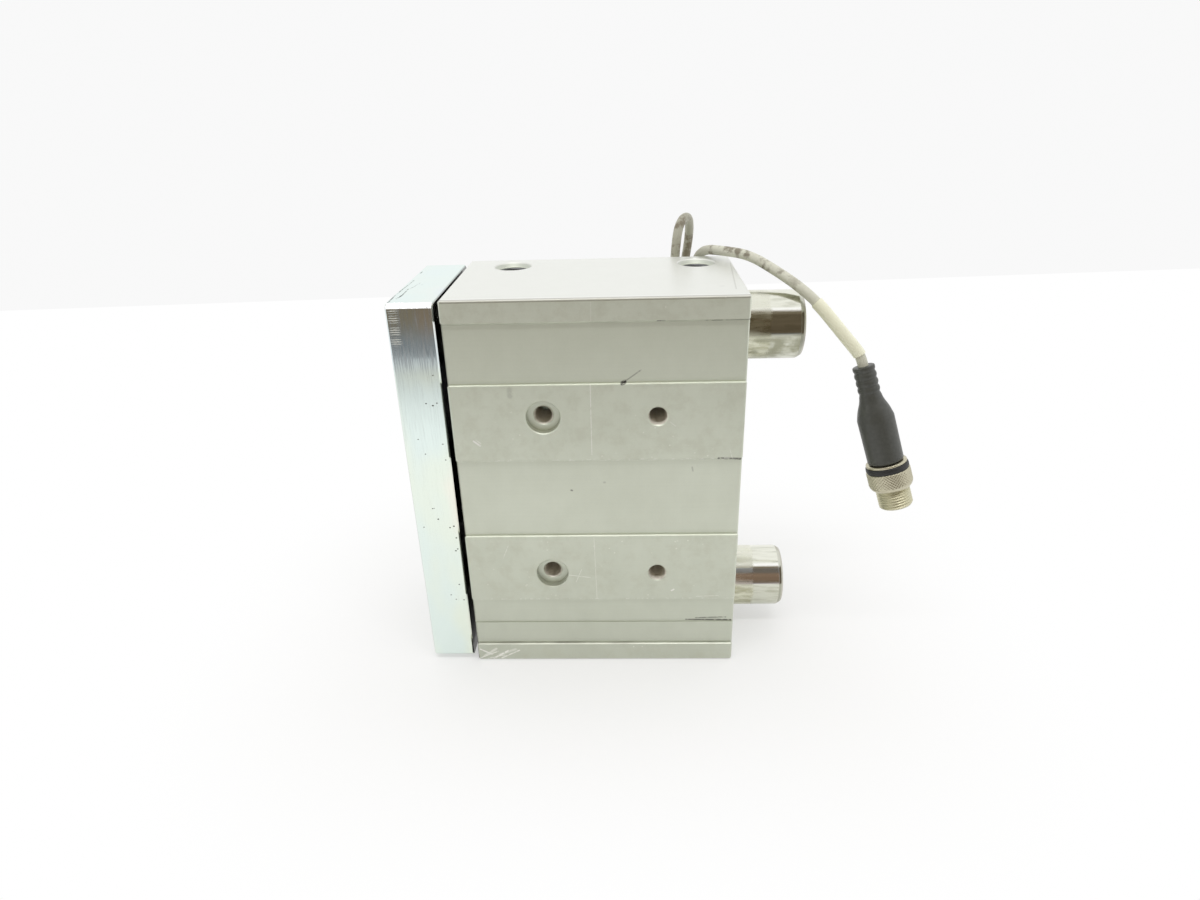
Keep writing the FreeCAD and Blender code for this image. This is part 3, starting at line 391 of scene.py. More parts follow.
def anodised(name):
    paint = Paint(name, metallic=0.7)
    broad = paint.noise(size=38, detail=4)
    cloud = paint.noise(size=6, detail=4, stretch=(1, 1, 1.6), shift=7.0)
    drawn = paint.noise(size=0.8, detail=2, stretch=(70, 1, 1))
    grain = paint.noise(size=0.35, detail=2)
    waves = paint.weighted((broad, BROAD_SHARE), (cloud, CLOUD_SHARE))
    tone = paint.total(waves, paint.product(drawn, DRAWN_SHARE), paint.product(grain, GRAIN_SHARE))
    colour = paint.mix(tone, ALUMINIUM_DARK, ALUMINIUM_LIGHT)

    near = paint.ramp(paint.y, *NEAR_ZONE)
    top = paint.ramp(paint.z, *TOP_ZONE)
    bevel = paint.ramp(paint.math("SUBTRACT", paint.z, paint.y), *BEVEL_ZONE)
    # Painted shade: the colour grows darker towards the housing's foot
    colour = paint.tint(colour, FOOT_SHADE_COVER, paint.ramp(paint.z, *FOOT_SHADE_ZONE))
    # Painted light: the top face is lighter and more neutral
    colour = paint.tint(colour, TOP_LIGHT_COVER, top)
    # Painted light: the near face of the upper band is lighter
    colour = paint.tint(colour, RAISED_LIGHT_COVER, paint.ramp(paint.z, *RAISED_ZONE), near)
    # Painted shade: the bevel along the top's near edge is darker
    colour = paint.tint(colour, BEVEL_SHADE_COVER, bevel)

    pads = paint.ramp(paint.y, *PAD_ZONE)
    soil = paint.patches(start=0.42, end=0.7, size=5, detail=6, rough=0.65, shift=11.0)
    colour = paint.tint(colour, SOIL_COVER, pads, soil)
    sprinkled = paint.patches(start=0.5, end=0.62, size=14, shift=13.0)
    colour = paint.tint(colour, FLECK_COVER, paint.specks(size=2.6, radius=0.16), sprinkled, pads)

    broken = paint.patches(start=0.3, end=0.5, size=1.6)
    dark = paint.product(paint.strokes(DARK_MARKS), near, broken)
    light = paint.product(paint.strokes(LIGHT_MARKS), near, broken)
    faint = paint.product(paint.strokes(TOP_MARKS, flat_axis=2), top)
    streaks = paint.patches(start=0.4, end=0.65, size=7, stretch=(3, 1, 1))
    # Dark lines in patches along the edges of the bands
    band_edge_lines = paint.product(paint.bands(paint.z, BAND_EDGES, width=0.55), near, streaks, BAND_LINE_STRENGTH)
    chipped = paint.patches(start=0.5, end=0.68, size=1.3, shift=5.0)
    nicks = paint.product(paint.bands(paint.z, PAD_UNDERSIDES, width=0.9), near, chipped, NICK_STRENGTH)
    # Painted shade: dark rings in the centring seats round the fixing holes
    seat_shade = paint.hoops(SEAT_CENTRES, SEAT_RADIUS, width=0.5)
    seat_shade = paint.product(seat_shade, paint.ramp(paint.y, *SEAT_ZONE), SEAT_SHADE_STRENGTH)
    # One dark colour for the band-edge lines, the faint marks on the top and the painted shade of the seats
    colour = paint.mix(paint.largest(band_edge_lines, faint, seat_shade), colour, MARK_AND_SHADE_COLOUR)
    # Painted shade: the chamfers in the mouths of the ports are darker
    mouth_shade = paint.hoops(PORT_CENTRES, PORT_RIM_RADIUS, width=1.0)
    colour = paint.tint(colour, PORT_MOUTH_SHADE_COVER, mouth_shade, paint.ramp(paint.z, *SUNK_ZONE))
    colour = paint.mix(dark, colour, DARK_MARK_COLOUR)
    colour = paint.mix(paint.largest(light, nicks), colour, LIGHT_MARK_COLOUR)
    # Painted shade: the housing's front face turns nearly black where the plate stands close to it
    gap_shade = paint.product(paint.ramp(paint.x, *HOUSING_FRONT_ZONE), paint.crevice(GAP_REACH))
    paint.put("Base Color", paint.mix(gap_shade, colour, HOUSING_GAP_SHADE))

    satin = paint.ramp(tone, *MIDDLE_LEVELS, first=0.54, last=0.46)
    paint.put("Roughness", paint.total(satin, paint.product(dark, DARK_MARK_ROUGHNESS)))
    paint.put("Coat Weight", 1.0)
    paint.put("Coat Roughness", 0.3)
    paint.bump(tone, depth=0.012)
    return paint


# Plate: bright zinc with a rainbow tint, pits and grinding marks, a painted reflection in the upper part of
# its near face, a painted highlight on its top bevel and painted shade in the gap behind it. A hue begins
# and is full at two levels of the noise. A pit is a place and a width, and a block of the ladder of scuffs
# is a height and a reach.
PLATE_FRONT_ZONE = (-71.1, -71.4)
PLATE_BACK_ZONE = (-56.0, -55.7)
PLATE_NEAR_ZONE = (-29.8, -30.4)
PLATE_TOP_ZONE = (146.4, 146.8)
PLATE_UPPER_ZONE = (121.0, 128.0)
PLATE_BEVEL_ZONE = (176.2, 176.35)
PLATE_PITS = [
    (-64.5, 70.1, 0.225),
    (-62.9, 65.6, 0.3375),
    (-68.7, 62.2, 0.225),
    (-58.9, 61.9, 0.3),
    (-57.4, 62.5, 0.375),
    (-57.0, 57.4, 0.3375),
    (-57.0, 52.5, 0.3),
    (-57.8, 51.7, 0.3375),
    (-58.1, 36.3, 0.3),
    (-61.8, 31.4, 0.2625),
    (-57.0, 29.0, 0.3),
    (-60.0, 29.3, 0.225),
    (-61.8, 111.9, 0.2625),
    (-59.5, 111.1, 0.3375),
    (-58.0, 112.0, 0.2625),
    (-58.2, 122.2, 0.225),
    (-57.7, 96.3, 0.225),
    (-66.3, 98.3, 0.1875),
]
PIT_LENGTH = 0.2
PIT_STRENGTH = 0.9
PIT_COLOUR = grey(0.02)
PIT_ROUGHNESS = 0.4
PIT_RELIEF = -6.0
GROUND_RELIEF = 0.25
PLATE_TOP_SCRATCHES = [
    (-69.0, -23.9, -68.4, -19.2, 0.5, 0.9),
    (-68.4, -19.2, -68.5, -10.2, 0.35, 0.8),
    (-70.6, -29.0, -70.8, -19.8, 0.45, 0.8),
    (-70.8, -19.8, -69.8, 3.2, 0.35, 0.7),
    (-68.1, -10.2, -66.5, -1.6, 0.25, 0.4),
    (-67.7, -8.5, -64.8, -3.5, 0.2, 0.35),
    (-70.2, 14.8, -70.2, 17.8, 0.4, 0.7),
]
LADDER_BLOCKS = ((145.2, 2.2), (141.8, 2.0), (137.8, 2.2), (134.2, 1.8))
LADDER_PITCH = 0.8
LADDER_WAVER = 0.8
LADDER_MIDDLE = -69.0
LADDER_HALF = 2.4
SCUFF_COVER = ((0.95, 0.94, 0.86), 0.7)
SCUFF_ROUGHNESS = 0.5
ZINC_COLOUR = (0.80, 0.90, 0.86)
ZINC_HUES = [
    (0.35, 0.5, (0.84, 0.91, 0.81)),
    (0.5, 0.62, (0.92, 0.90, 0.80)),
    (0.62, 0.72, (0.86, 0.84, 0.88)),
]
BRUSHED_DARK = (0.50, 0.53, 0.50)
BRUSHED_LIGHT = (0.74, 0.76, 0.71)
BRUSHED_STRENGTH = 0.7
BLUE_REFLECTION_COLOUR = (0.78, 0.9, 1.0)
BLUE_REFLECTION_FADE = (139.0, 131.0, 0.35, 0.5)
REFLECTION_STREAKS_COVER = ((0.52, 0.54, 0.58), 0.42)
PLATE_TOP_COVER = ((0.76, 0.89, 0.87), 0.7)
PLATE_BEVEL_HIGHLIGHT = grey(0.985)
PLATE_GAP_SHADE = grey(0.015)


def zinc(name):
    paint = Paint(name, metallic=1.0)
    hue = paint.noise(size=26, detail=2, stretch=(1, 1, 2.2))
    colour = ZINC_COLOUR
    for start, end, shade in ZINC_HUES:
        colour = paint.mix(paint.ramp(hue, start, end), colour, shade)
    ground = paint.noise(size=0.35, stretch=(1, 1, 24))
    brushed = paint.noise(size=1.1, detail=4, stretch=(1, 1, 60), shift=8.0)
    front = paint.ramp(paint.x, *PLATE_FRONT_ZONE)
    worked = paint.mix(paint.ramp(brushed, *MIDDLE_LEVELS), BRUSHED_DARK, BRUSHED_LIGHT)
    colour = paint.mix(paint.product(front, BRUSHED_STRENGTH), colour, worked)
    near = paint.ramp(paint.y, *PLATE_NEAR_ZONE)
    top = paint.ramp(paint.z, *PLATE_TOP_ZONE)
    upper = paint.product(near, paint.ramp(paint.z, *PLATE_UPPER_ZONE))
    # Painted reflection: the upper part of the near face turns bluish
    colour = paint.mix(paint.product(upper, paint.ramp(paint.z, *BLUE_REFLECTION_FADE)), colour, BLUE_REFLECTION_COLOUR)
    # Painted reflection: grey streaks along the grinding lines in the upper part of the near face
    colour = paint.tint(colour, REFLECTION_STREAKS_COVER, upper, paint.ramp(ground, start=0.45, end=0.6))
    colour = paint.tint(colour, PLATE_TOP_COVER, top)
    # Painted highlight: the bevel along the top's near edge is nearly white
    bevel = paint.ramp(paint.math("SUBTRACT", paint.z, paint.y), *PLATE_BEVEL_ZONE)
    colour = paint.mix(bevel, colour, PLATE_BEVEL_HIGHLIGHT)

    ragged = paint.patches(start=0.4, end=0.55, size=0.9, shift=2.0)
    scored = paint.product(paint.strokes(PLATE_TOP_SCRATCHES, flat_axis=2), top, ragged)
    pits = paint.strokes([(x, z, x + PIT_LENGTH, z, width, PIT_STRENGTH) for x, z, width in PLATE_PITS])
    pitted = paint.largest(paint.product(pits, near), scored)
    spread = paint.patches(start=0.5, end=0.6, size=40, shift=9.0)
    scattered = paint.product(paint.specks(size=7.0, radius=0.05), spread)
    rungs = paint.largest(*(paint.near_to(paint.z, height, reach) for height, reach in LADDER_BLOCKS))
    waver = paint.product(paint.noise(size=3, detail=2, shift=3.0), LADDER_WAVER)
    turns = paint.product(paint.total(paint.z, waver), 2 * math.pi / LADDER_PITCH)
    lines = paint.ramp(paint.math("SINE", turns), start=-0.1, end=0.6)
    scuffed = paint.product(paint.near_to(paint.x, LADDER_MIDDLE, LADDER_HALF), near, rungs, lines)
    colour = paint.tint(colour, SCUFF_COVER, scuffed)
    colour = paint.mix(paint.largest(pitted, scattered), colour, PIT_COLOUR)
    # Painted shade: the plate's back face turns nearly black where the housing stands close to it
    shaded = paint.product(paint.ramp(paint.x, *PLATE_BACK_ZONE), paint.crevice(GAP_REACH))
    paint.put("Base Color", paint.mix(shaded, colour, PLATE_GAP_SHADE))

    polished = paint.ramp(ground, start=0.35, end=0.7, first=0.05, last=0.2)
    worn = paint.total(polished, paint.product(scuffed, SCUFF_ROUGHNESS))
    milled = paint.product(front, paint.ramp(brushed, *MIDDLE_LEVELS, first=0.22, last=0.1))
    paint.put("Roughness", paint.total(worn, paint.product(pitted, PIT_ROUGHNESS), milled))
    paint.bump(paint.weighted((ground, GROUND_RELIEF), (pitted, PIT_RELIEF)), depth=0.01)
    return paint


# Rods: hard chrome, clean at the tail's end and greasy where the bushes have left their film. Painted bands
# on the near side of the tails stand for what the photograph's rods mirror. Their levels are heights over a
# rod's own axis, and on the lower rod the heights are stretched and shifted first.
# Painted light and shade also make the top of each rod lighter, lay bands on the chamfers and rims at the
# rods' ends, and darken part of the upper rod's underside
LOWER_ROD = 19.0
ROD_SPACING = 110.0
MIDDLE_HEIGHT = 74.0
LOWER_BAND_SCALE = 0.24
LOWER_BAND_SHIFT = 4.14
ROD_TAIL_ZONE = (40.0, 47.0)
ROD_NEAR_ZONE = (3.0, -3.0)
FILM_ZONE = (60.9, 59.5)
FILM_WAVER = 2.0
UNDERSIDE_TOP_ZONE = (129.5, 126.0)
UNDERSIDE_FOOT_ZONE = (108.0, 112.0)
CHAMFER_ZONE = (69.6, 69.9)
RIM_ZONE = (70.7, 70.9)
TOP_SHEEN_FADE = (6.0, 8.5, 0.0, 0.65)
HIGHLIGHT_LINE_LEVEL = 8.0
HIGHLIGHT_LINE_HALF = 0.9
HIGHLIGHT_ON_FILM = 0.25
BLUISH_LEVELS = (4.2, 5.6)
BROWNISH_LEVELS = (2.2, 1.2)
MIRROR_TOP_LEVELS = (7.3, 6.6)
MIRROR_FOOT_LEVELS = (-0.5, 0.2)
FLANK_TOP_LEVELS = (7.5, 5.5)
FLANK_FOOT_LEVELS = (-1.5, 0.5)
CHAMFER_SHADE_LEVELS = (-0.9, 0.3)
CHAMFER_HIGHLIGHT_LEVELS = (6.6, 7.8)
CHAMFER_FAR_ZONE = (-2.0, 2.0)
CHROME_DARK = (0.60, 0.61, 0.515)
CHROME_LIGHT = (0.74, 0.75, 0.655)
SMUDGE_COVER = ((0.38, 0.375, 0.27), 0.55)
FILM_DARK = (0.42, 0.415, 0.29)
FILM_LIGHT = (0.80, 0.805, 0.66)
STAIN_AND_SHADE_COVER = ((0.30, 0.30, 0.21), 0.85)
# Colours of painted highlights, reflections and shade on the rods
TOP_SHEEN_COLOUR = (0.92, 0.925, 0.83)
HIGHLIGHT_LINE_COLOUR = (0.98, 0.98, 0.93)
ROSY_REFLECTION = (0.97, 0.83, 0.75)
BLUISH_REFLECTION = (0.6, 0.66, 0.74)
BROWNISH_REFLECTION = (0.8, 0.74, 0.68)
MIRROR_STRENGTH = 0.9
FLANK_REFLECTION_COVER = ((0.14, 0.11, 0.05), 0.4)
CHAMFER_REFLECTION = (0.47, 0.475, 0.39)
CHAMFER_SHADE = (0.12, 0.1, 0.067)
CHAMFER_HIGHLIGHT = (0.68, 0.685, 0.6)
CHAMFER_FAR_REFLECTION = (0.5, 0.49, 0.4)
RIM_HIGHLIGHT = (0.62, 0.61, 0.54)
SMUDGE_ROUGHNESS = 0.1
CHAMFER_ROUGHNESS = 0.3
STREAK_RELIEF = 0.15


def chrome(name):
    paint = Paint(name, metallic=1.0)
    wavy = paint.total(paint.x, paint.product(paint.noise(size=5), FILM_WAVER))
    tail = paint.ramp(paint.x, *ROD_TAIL_ZONE)
    near = paint.product(tail, paint.ramp(paint.y, *ROD_NEAR_ZONE))
    film = paint.product(paint.ramp(wavy, *FILM_ZONE), tail)
    smear = paint.noise(size=2.6, detail=5, stretch=(4, 1, 1))
    streak = paint.noise(size=0.5, detail=2, stretch=(40, 1, 1))
    smudge = paint.patches(start=0.38, end=0.7, size=1.4, detail=5, stretch=(7, 1, 1), shift=6.0)
    clean = paint.tint(paint.mix(streak, CHROME_DARK, CHROME_LIGHT), SMUDGE_COVER, smudge)
    dull = paint.mix(paint.ramp(smear, *MIDDLE_LEVELS), FILM_DARK, FILM_LIGHT)
    colour = paint.mix(film, clean, dull)
    # Stain spots with painted shade: patchy darkening on the underside of the upper rod's tail
    stained_and_shaded = paint.product(paint.ramp(paint.z, *UNDERSIDE_TOP_ZONE), paint.ramp(paint.z, *UNDERSIDE_FOOT_ZONE))
    spots = paint.patches(start=0.35, end=0.6, size=7, detail=4, shift=4.0)
    colour = paint.tint(colour, STAIN_AND_SHADE_COVER, stained_and_shaded, spots, tail)

    upper = paint.math("GREATER_THAN", paint.z, MIDDLE_HEIGHT)
    lower = paint.math("SUBTRACT", 1.0, upper)
    height = paint.math("SUBTRACT", paint.z, LOWER_ROD)
    height = paint.math("SUBTRACT", height, paint.product(upper, ROD_SPACING))
    stretched = paint.product(height, paint.total(1.0, paint.product(lower, LOWER_BAND_SCALE)))
    level = paint.math("SUBTRACT", stretched, paint.product(lower, LOWER_BAND_SHIFT))
    # Painted highlight: a lighter, patchy zone over the top of each rod
    patchy = paint.ramp(smear, start=0.7, end=0.45, first=0.3)
    colour = paint.mix(paint.product(paint.ramp(height, *TOP_SHEEN_FADE), patchy), colour, TOP_SHEEN_COLOUR)
    # Painted highlight: a thin bright line on the near side of the tails, fainter on the film
    uncovered = paint.ramp(film, start=1.0, end=0.0, first=HIGHLIGHT_ON_FILM)
    line = paint.product(paint.near_to(level, HIGHLIGHT_LINE_LEVEL, HIGHLIGHT_LINE_HALF), uncovered, near)
    colour = paint.mix(line, colour, HIGHLIGHT_LINE_COLOUR)
    # Painted reflection: rosy, bluish and brownish bands of the room on the near side of the lower rod's
    # tail
    room = paint.mix(paint.ramp(level, *BLUISH_LEVELS), ROSY_REFLECTION, BLUISH_REFLECTION)
    room = paint.mix(paint.ramp(level, *BROWNISH_LEVELS), room, BROWNISH_REFLECTION)
    mirror = paint.product(paint.ramp(level, *MIRROR_TOP_LEVELS), paint.ramp(level, *MIRROR_FOOT_LEVELS))
    colour = paint.mix(paint.product(lower, mirror, near, MIRROR_STRENGTH), colour, room)
    # Painted reflection: a dark band on the near side of the upper rod's tail
    flank = paint.product(paint.ramp(height, *FLANK_TOP_LEVELS), paint.ramp(height, *FLANK_FOOT_LEVELS))
    colour = paint.tint(colour, FLANK_REFLECTION_COVER, flank, upper, near)

    # Painted reflection on the chamfers at the rods' ends: bands of painted shade and highlight, another
    # colour on the far side, and a painted highlight on the rim
    end = paint.ramp(paint.x, *CHAMFER_ZONE)
    bands = paint.mix(paint.ramp(level, *CHAMFER_SHADE_LEVELS), CHAMFER_REFLECTION, CHAMFER_SHADE)
    bands = paint.mix(paint.ramp(level, *CHAMFER_HIGHLIGHT_LEVELS), bands, CHAMFER_HIGHLIGHT)
    bands = paint.mix(paint.ramp(paint.y, *CHAMFER_FAR_ZONE), bands, CHAMFER_FAR_REFLECTION)
    bands = paint.mix(paint.ramp(paint.x, *RIM_ZONE), bands, RIM_HIGHLIGHT)
    paint.put("Base Color", paint.mix(end, colour, bands))

    smooth = paint.ramp(streak, *MIDDLE_LEVELS, first=0.07, last=0.13)
    worn = paint.weighted((smudge, SMUDGE_ROUGHNESS), (end, CHAMFER_ROUGHNESS))
    greasy = paint.product(film, paint.ramp(smear, *MIDDLE_LEVELS, first=0.1, last=0.2))
    paint.put("Roughness", paint.total(smooth, worn, greasy))
    paint.bump(paint.weighted((film, smear), (streak, STREAK_RELIEF)), depth=0.01)
    return paint


# Cable: a grey jacket, darker away from the plug, with brown dirt in patches that grow fainter towards it
JACKET_DARK = (0.60, 0.60, 0.50)
JACKET_LIGHT = (0.73, 0.73, 0.61)
DARKENING_ZONE = (46.0, 34.0)
DARKENING_COVER = ((0.30, 0.29, 0.22), 0.7)
DIRT_FADE = (76.0, 56.0, 0.1, 0.85)
DIRT_COLOUR = (0.17, 0.14, 0.09)


def jacket(name):
    paint = Paint(name)
    fine = paint.noise(size=0.8)
    colour = paint.mix(fine, JACKET_DARK, JACKET_LIGHT)
    colour = paint.tint(colour, DARKENING_COVER, paint.ramp(paint.x, *DARKENING_ZONE))
    dirty = paint.patches(start=0.5, end=0.62, size=6.0, detail=5, rough=0.6)
    dirty = paint.product(dirty, paint.ramp(paint.x, *DIRT_FADE))
    paint.put("Base Color", paint.mix(dirty, colour, DIRT_COLOUR))
    paint.put("Roughness", paint.ramp(fine, *MIDDLE_LEVELS, first=0.6, last=0.45))
    paint.bump(fine, depth=0.02)
    return paint


# Coupling nut: tarnished nickel, cleaner on the thread; the zone is a distance along the plug's axis
CLEAN_ZONE = (46.0, 46.6)
NICKEL_DARK = (0.46, 0.43, 0.31)
NICKEL_LIGHT = (0.70, 0.66, 0.51)
CLEAN_DARK = (0.57, 0.545, 0.39)
CLEAN_LIGHT = (0.68, 0.65, 0.47)
CLEAN_ROUGHNESS = 0.08


def nickel(name):
    paint = Paint(name, metallic=1.0)
    away = paint.vector("SUBTRACT", paint.place, tuple(PLUG_TAIL))
    along = paint.vector("DOT_PRODUCT", away, tuple(PLUG_AXIS))
    clean = paint.ramp(along, *CLEAN_ZONE)
    grain = paint.noise(size=0.9, detail=4)
    dull = paint.mix(grain, NICKEL_DARK, NICKEL_LIGHT)
    bright = paint.mix(grain, CLEAN_DARK, CLEAN_LIGHT)
    paint.put("Base Color", paint.mix(clean, dull, bright))
    satin = paint.ramp(grain, *WIDE_LEVELS, first=0.4, last=0.3)
    paint.put("Roughness", paint.total(satin, paint.product(clean, CLEAN_ROUGHNESS)))
    paint.bump(grain, depth=0.002)
    return paint


# Covers and other turned parts: rings from the lathe round the cylinder's axis
GROOVE_SIZE = 0.7
GROOVE_SHARE = 0.75
TURNED_DARK = (0.48, 0.48, 0.47)
TURNED_LIGHT = (0.74, 0.74, 0.72)


def turned(name):
    paint = Paint(name, metallic=1.0)
    grooves = paint.rings(paint.gap((None, 0.0, MIDDLE_HEIGHT)), GROOVE_SIZE)
    tone = paint.weighted((grooves, GROOVE_SHARE), (paint.noise(size=0.4), 1.0 - GROOVE_SHARE))
    paint.put("Base Color", paint.mix(paint.ramp(tone, *MIDDLE_LEVELS), TURNED_DARK, TURNED_LIGHT))
    paint.put("Roughness", paint.ramp(grooves, *MIDDLE_LEVELS, first=0.42, last=0.26))
    paint.bump(grooves, depth=0.02)
    return paint


# All other surfaces vary finely in colour, gloss and height
ROUGHNESS_SPREAD = 0.15
PLAIN_LOOKS = {
    "bearing_bronze": dict(
        dark=(0.42, 0.29, 0.14), light=(0.6, 0.44, 0.24), roughness=0.4, metallic=1.0, size=0.6
    ),
    "black_rubber": dict(dark=grey(0.014), light=grey(0.03), roughness=0.5, size=0.5),
    "bumper_polyurethane": dict(dark=(0.2, 0.13, 0.05), light=(0.3, 0.2, 0.08), roughness=0.4),
    "spring_steel": dict(dark=grey(0.05), light=grey(0.11), roughness=0.4, metallic=0.8, size=1.0),
    "screw_steel": dict(
        dark=(0.4, 0.4, 0.39), light=(0.6, 0.6, 0.58), roughness=0.3, metallic=1.0, size=0.8
    ),
    "plug_steel": dict(
        dark=(0.36, 0.36, 0.35), light=(0.52, 0.52, 0.5), roughness=0.35, metallic=1.0, size=0.8
    ),
    "bonded_magnet": dict(dark=grey(0.03), light=grey(0.07), roughness=0.6, size=0.4),
    "wear_plastic": dict(dark=(0.6, 0.56, 0.44), light=(0.72, 0.69, 0.57), roughness=0.5),
    "sensor_plastic": dict(dark=grey(0.02), light=grey(0.045), roughness=0.45, size=0.4),
    "marker_plastic": dict(
        dark=(0.87, 0.87, 0.67), light=(0.93, 0.93, 0.74), roughness=0.4, size=4.0, depth=0.004
    ),
    "plug_plastic": dict(dark=(0.05, 0.052, 0.046), light=(0.084, 0.087, 0.076), roughness=0.4, size=1.2),
    "insert_plastic": dict(dark=grey(0.02), light=grey(0.04), roughness=0.5, size=0.5),
    "gold_contact": dict(
        dark=(0.7, 0.5, 0.18), light=(0.85, 0.66, 0.3), roughness=0.2, metallic=1.0, size=0.5
    ),
    "oily_bore": dict(
        dark=(0.65, 0.615, 0.54), light=(0.94, 0.91, 0.82), roughness=0.35, metallic=0.25, size=1.5
    ),
    "shaded_port": dict(
        dark=(0.13, 0.135, 0.14), light=(0.24, 0.245, 0.25), roughness=0.4, metallic=0.6, size=1.5
    ),
}


def plain(name, dark, light, roughness, metallic=0.0, size=3.0, depth=0.02):
    paint = Paint(name, metallic)
    grain = paint.noise(size, detail=4)
    paint.put("Base Color", paint.mix(grain, dark, light))
    dullest = roughness * (1 + ROUGHNESS_SPREAD)
    glossiest = roughness * (1 - ROUGHNESS_SPREAD)
    paint.put("Roughness", paint.ramp(grain, *WIDE_LEVELS, first=dullest, last=glossiest))
    paint.bump(grain, depth)
    return paint


SPECIAL_LOOKS = {
    "anodised_aluminium": anodised,
    "machined_aluminium": turned,
    "zinc_plated_steel": zinc,
    "chrome_steel": chrome,
    "cable_jacket": jacket,
    "nickel_brass": nickel,
}
PAINTS = {name: make(name) for name, make in SPECIAL_LOOKS.items()}
PAINTS.update({name: plain(name, **look) for name, look in PLAIN_LOOKS.items()})

for entry in frame["record"]["subparts"]:
    for material_slot in frame["nodes"][entry["node"]].material_slots:
        material_slot.material = PAINTS[entry["material_slot"]].material


# Meshes of rings of points
SHARP_ANGLE = 38


def add_piece(name, data, slot, body, *nodes, paint=None):
    """Adds a mesh or curve that rides on a body and may replace nodes, in its slot's paint or its own."""
    data.materials.append((paint or PAINTS[slot]).material)
    piece = bpy.data.objects.new(name, data)
    bpy.context.collection.objects.link(piece)
    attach(piece, body)
    if nodes:
        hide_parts(*nodes)
    return piece


def ring_mesh(name, rings, closed, sharp=SHARP_ANGLE):
    """Joins rings of equally many points with faces; a closed row of rings meets its own start."""
    segments = len(rings[0])
    count = len(rings)
    points = [tuple(point * MM) for ring in rings for point in ring]
    faces = []
    for row in range(count if closed else count - 1):
        following = (row + 1) % count
        for step in range(segments):
            beside = (step + 1) % segments
            corners = (row, step), (row, beside), (following, beside), (following, step)
            faces.append(tuple(line * segments + place for line, place in corners))
    if not closed:
        faces.append(tuple(reversed(range(segments))))
        faces.append(tuple(range((count - 1) * segments, count * segments)))
    mesh = bpy.data.meshes.new(name)
    mesh.from_pydata(points, [], faces)
    mesh.shade_smooth()
    mesh.set_sharp_from_angle(angle=math.radians(sharp))
    return mesh


def spokes(side, across, segments):
    """Directions all round an axis, from one side on."""
    angles = [2 * math.pi * step / segments for step in range(segments)]
    return [side * math.cos(angle) + across * math.sin(angle) for angle in angles]


def lathe(name, profile, segments, start, axis, closed=False, sharp=SHARP_ANGLE):
    """Turns (distance, radius) pairs round an axis; a radius may be a function of distance and turn."""
    side = axis.orthogonal().normalized()
    outward = spokes(side, axis.cross(side), segments)
    rings = []
    for distance, radius in profile:
        ring = []
        for step, spoke in enumerate(outward):
            reach = radius(distance, step / segments) if callable(radius) else radius
            ring.append(start + axis * distance + spoke * reach)
        rings.append(ring)
    return ring_mesh(name, rings, closed, sharp)


def steps(first, last, count):
    """Evenly spaced numbers from the first to the last."""
    return [first + (last - first) * number / count for number in range(count + 1)]


def wave(value):
    """A triangle wave between 0 and 1."""
    return abs(2 * (value % 1.0) - 1)


def swell(value):
    """A smooth wave between 0 and 1."""
    return 0.5 + 0.5 * math.cos(2 * math.pi * value)


# Plug: soft ribs on the tail, a cone and a slightly tapering grip. Profiles are rows of distances along the
# axis, from the plug's tail on, and radii.
PLUG_MOUTH = [(0.0, 1.9), (0.0, 3.5), (0.12, 3.75), (0.35, 3.85)]
PLUG_CORE = [(35.85, 6.15), (36.0, 5.8), (36.0, 5.2), (46.3, 5.2), (46.3, 1.0)]
PLUG_SEGMENTS = 72
TAIL_RADIUS = 3.85
RIBS_START = 0.8
RIBS_END = 10.2
RIB_ROWS = 46
RIB_PITCH = 2.6
RIB_DEPTH = 0.32
RIB_SHARPNESS = 1.6
CONE_START = 10.8
CONE_END = 19.4
CONE_ROWS = 24
CONE_EASE = 0.09
CONE_LEAN = 1.15
GRIP_END = 36.0
GRIP_ROUNDING = 0.5
GRIP_ROWS = 12
GRIP_RADIUS = 6.45
GRIP_END_RADIUS = 6.3


def plug_profile():
    rows = list(PLUG_MOUTH)
    for distance in steps(RIBS_START, RIBS_END, RIB_ROWS):
        groove = 1.0 - swell((distance - RIBS_START) / RIB_PITCH)
        rows.append((distance, TAIL_RADIUS - RIB_DEPTH * groove**RIB_SHARPNESS))
    for share in steps(0.0, 1.0, CONE_ROWS)[1:]:
        eased = share + CONE_EASE * math.sin(2 * math.pi * share) * (share - CONE_LEAN)
        radius = TAIL_RADIUS + (GRIP_RADIUS - TAIL_RADIUS) * eased
        rows.append((CONE_START + (CONE_END - CONE_START) * share, radius))
    for distance in steps(CONE_END, GRIP_END - GRIP_ROUNDING, GRIP_ROWS)[1:]:
        share = (distance - CONE_END) / (GRIP_END - CONE_END)
        rows.append((distance, GRIP_RADIUS + (GRIP_END_RADIUS - GRIP_RADIUS) * share))
    return rows + PLUG_CORE


plug_mesh = lathe("plug_moulding", plug_profile(), PLUG_SEGMENTS, PLUG_TAIL, PLUG_AXIS)
plug = add_piece("plug_moulding", plug_mesh, "plug_plastic", "cylinder", "plug_body")

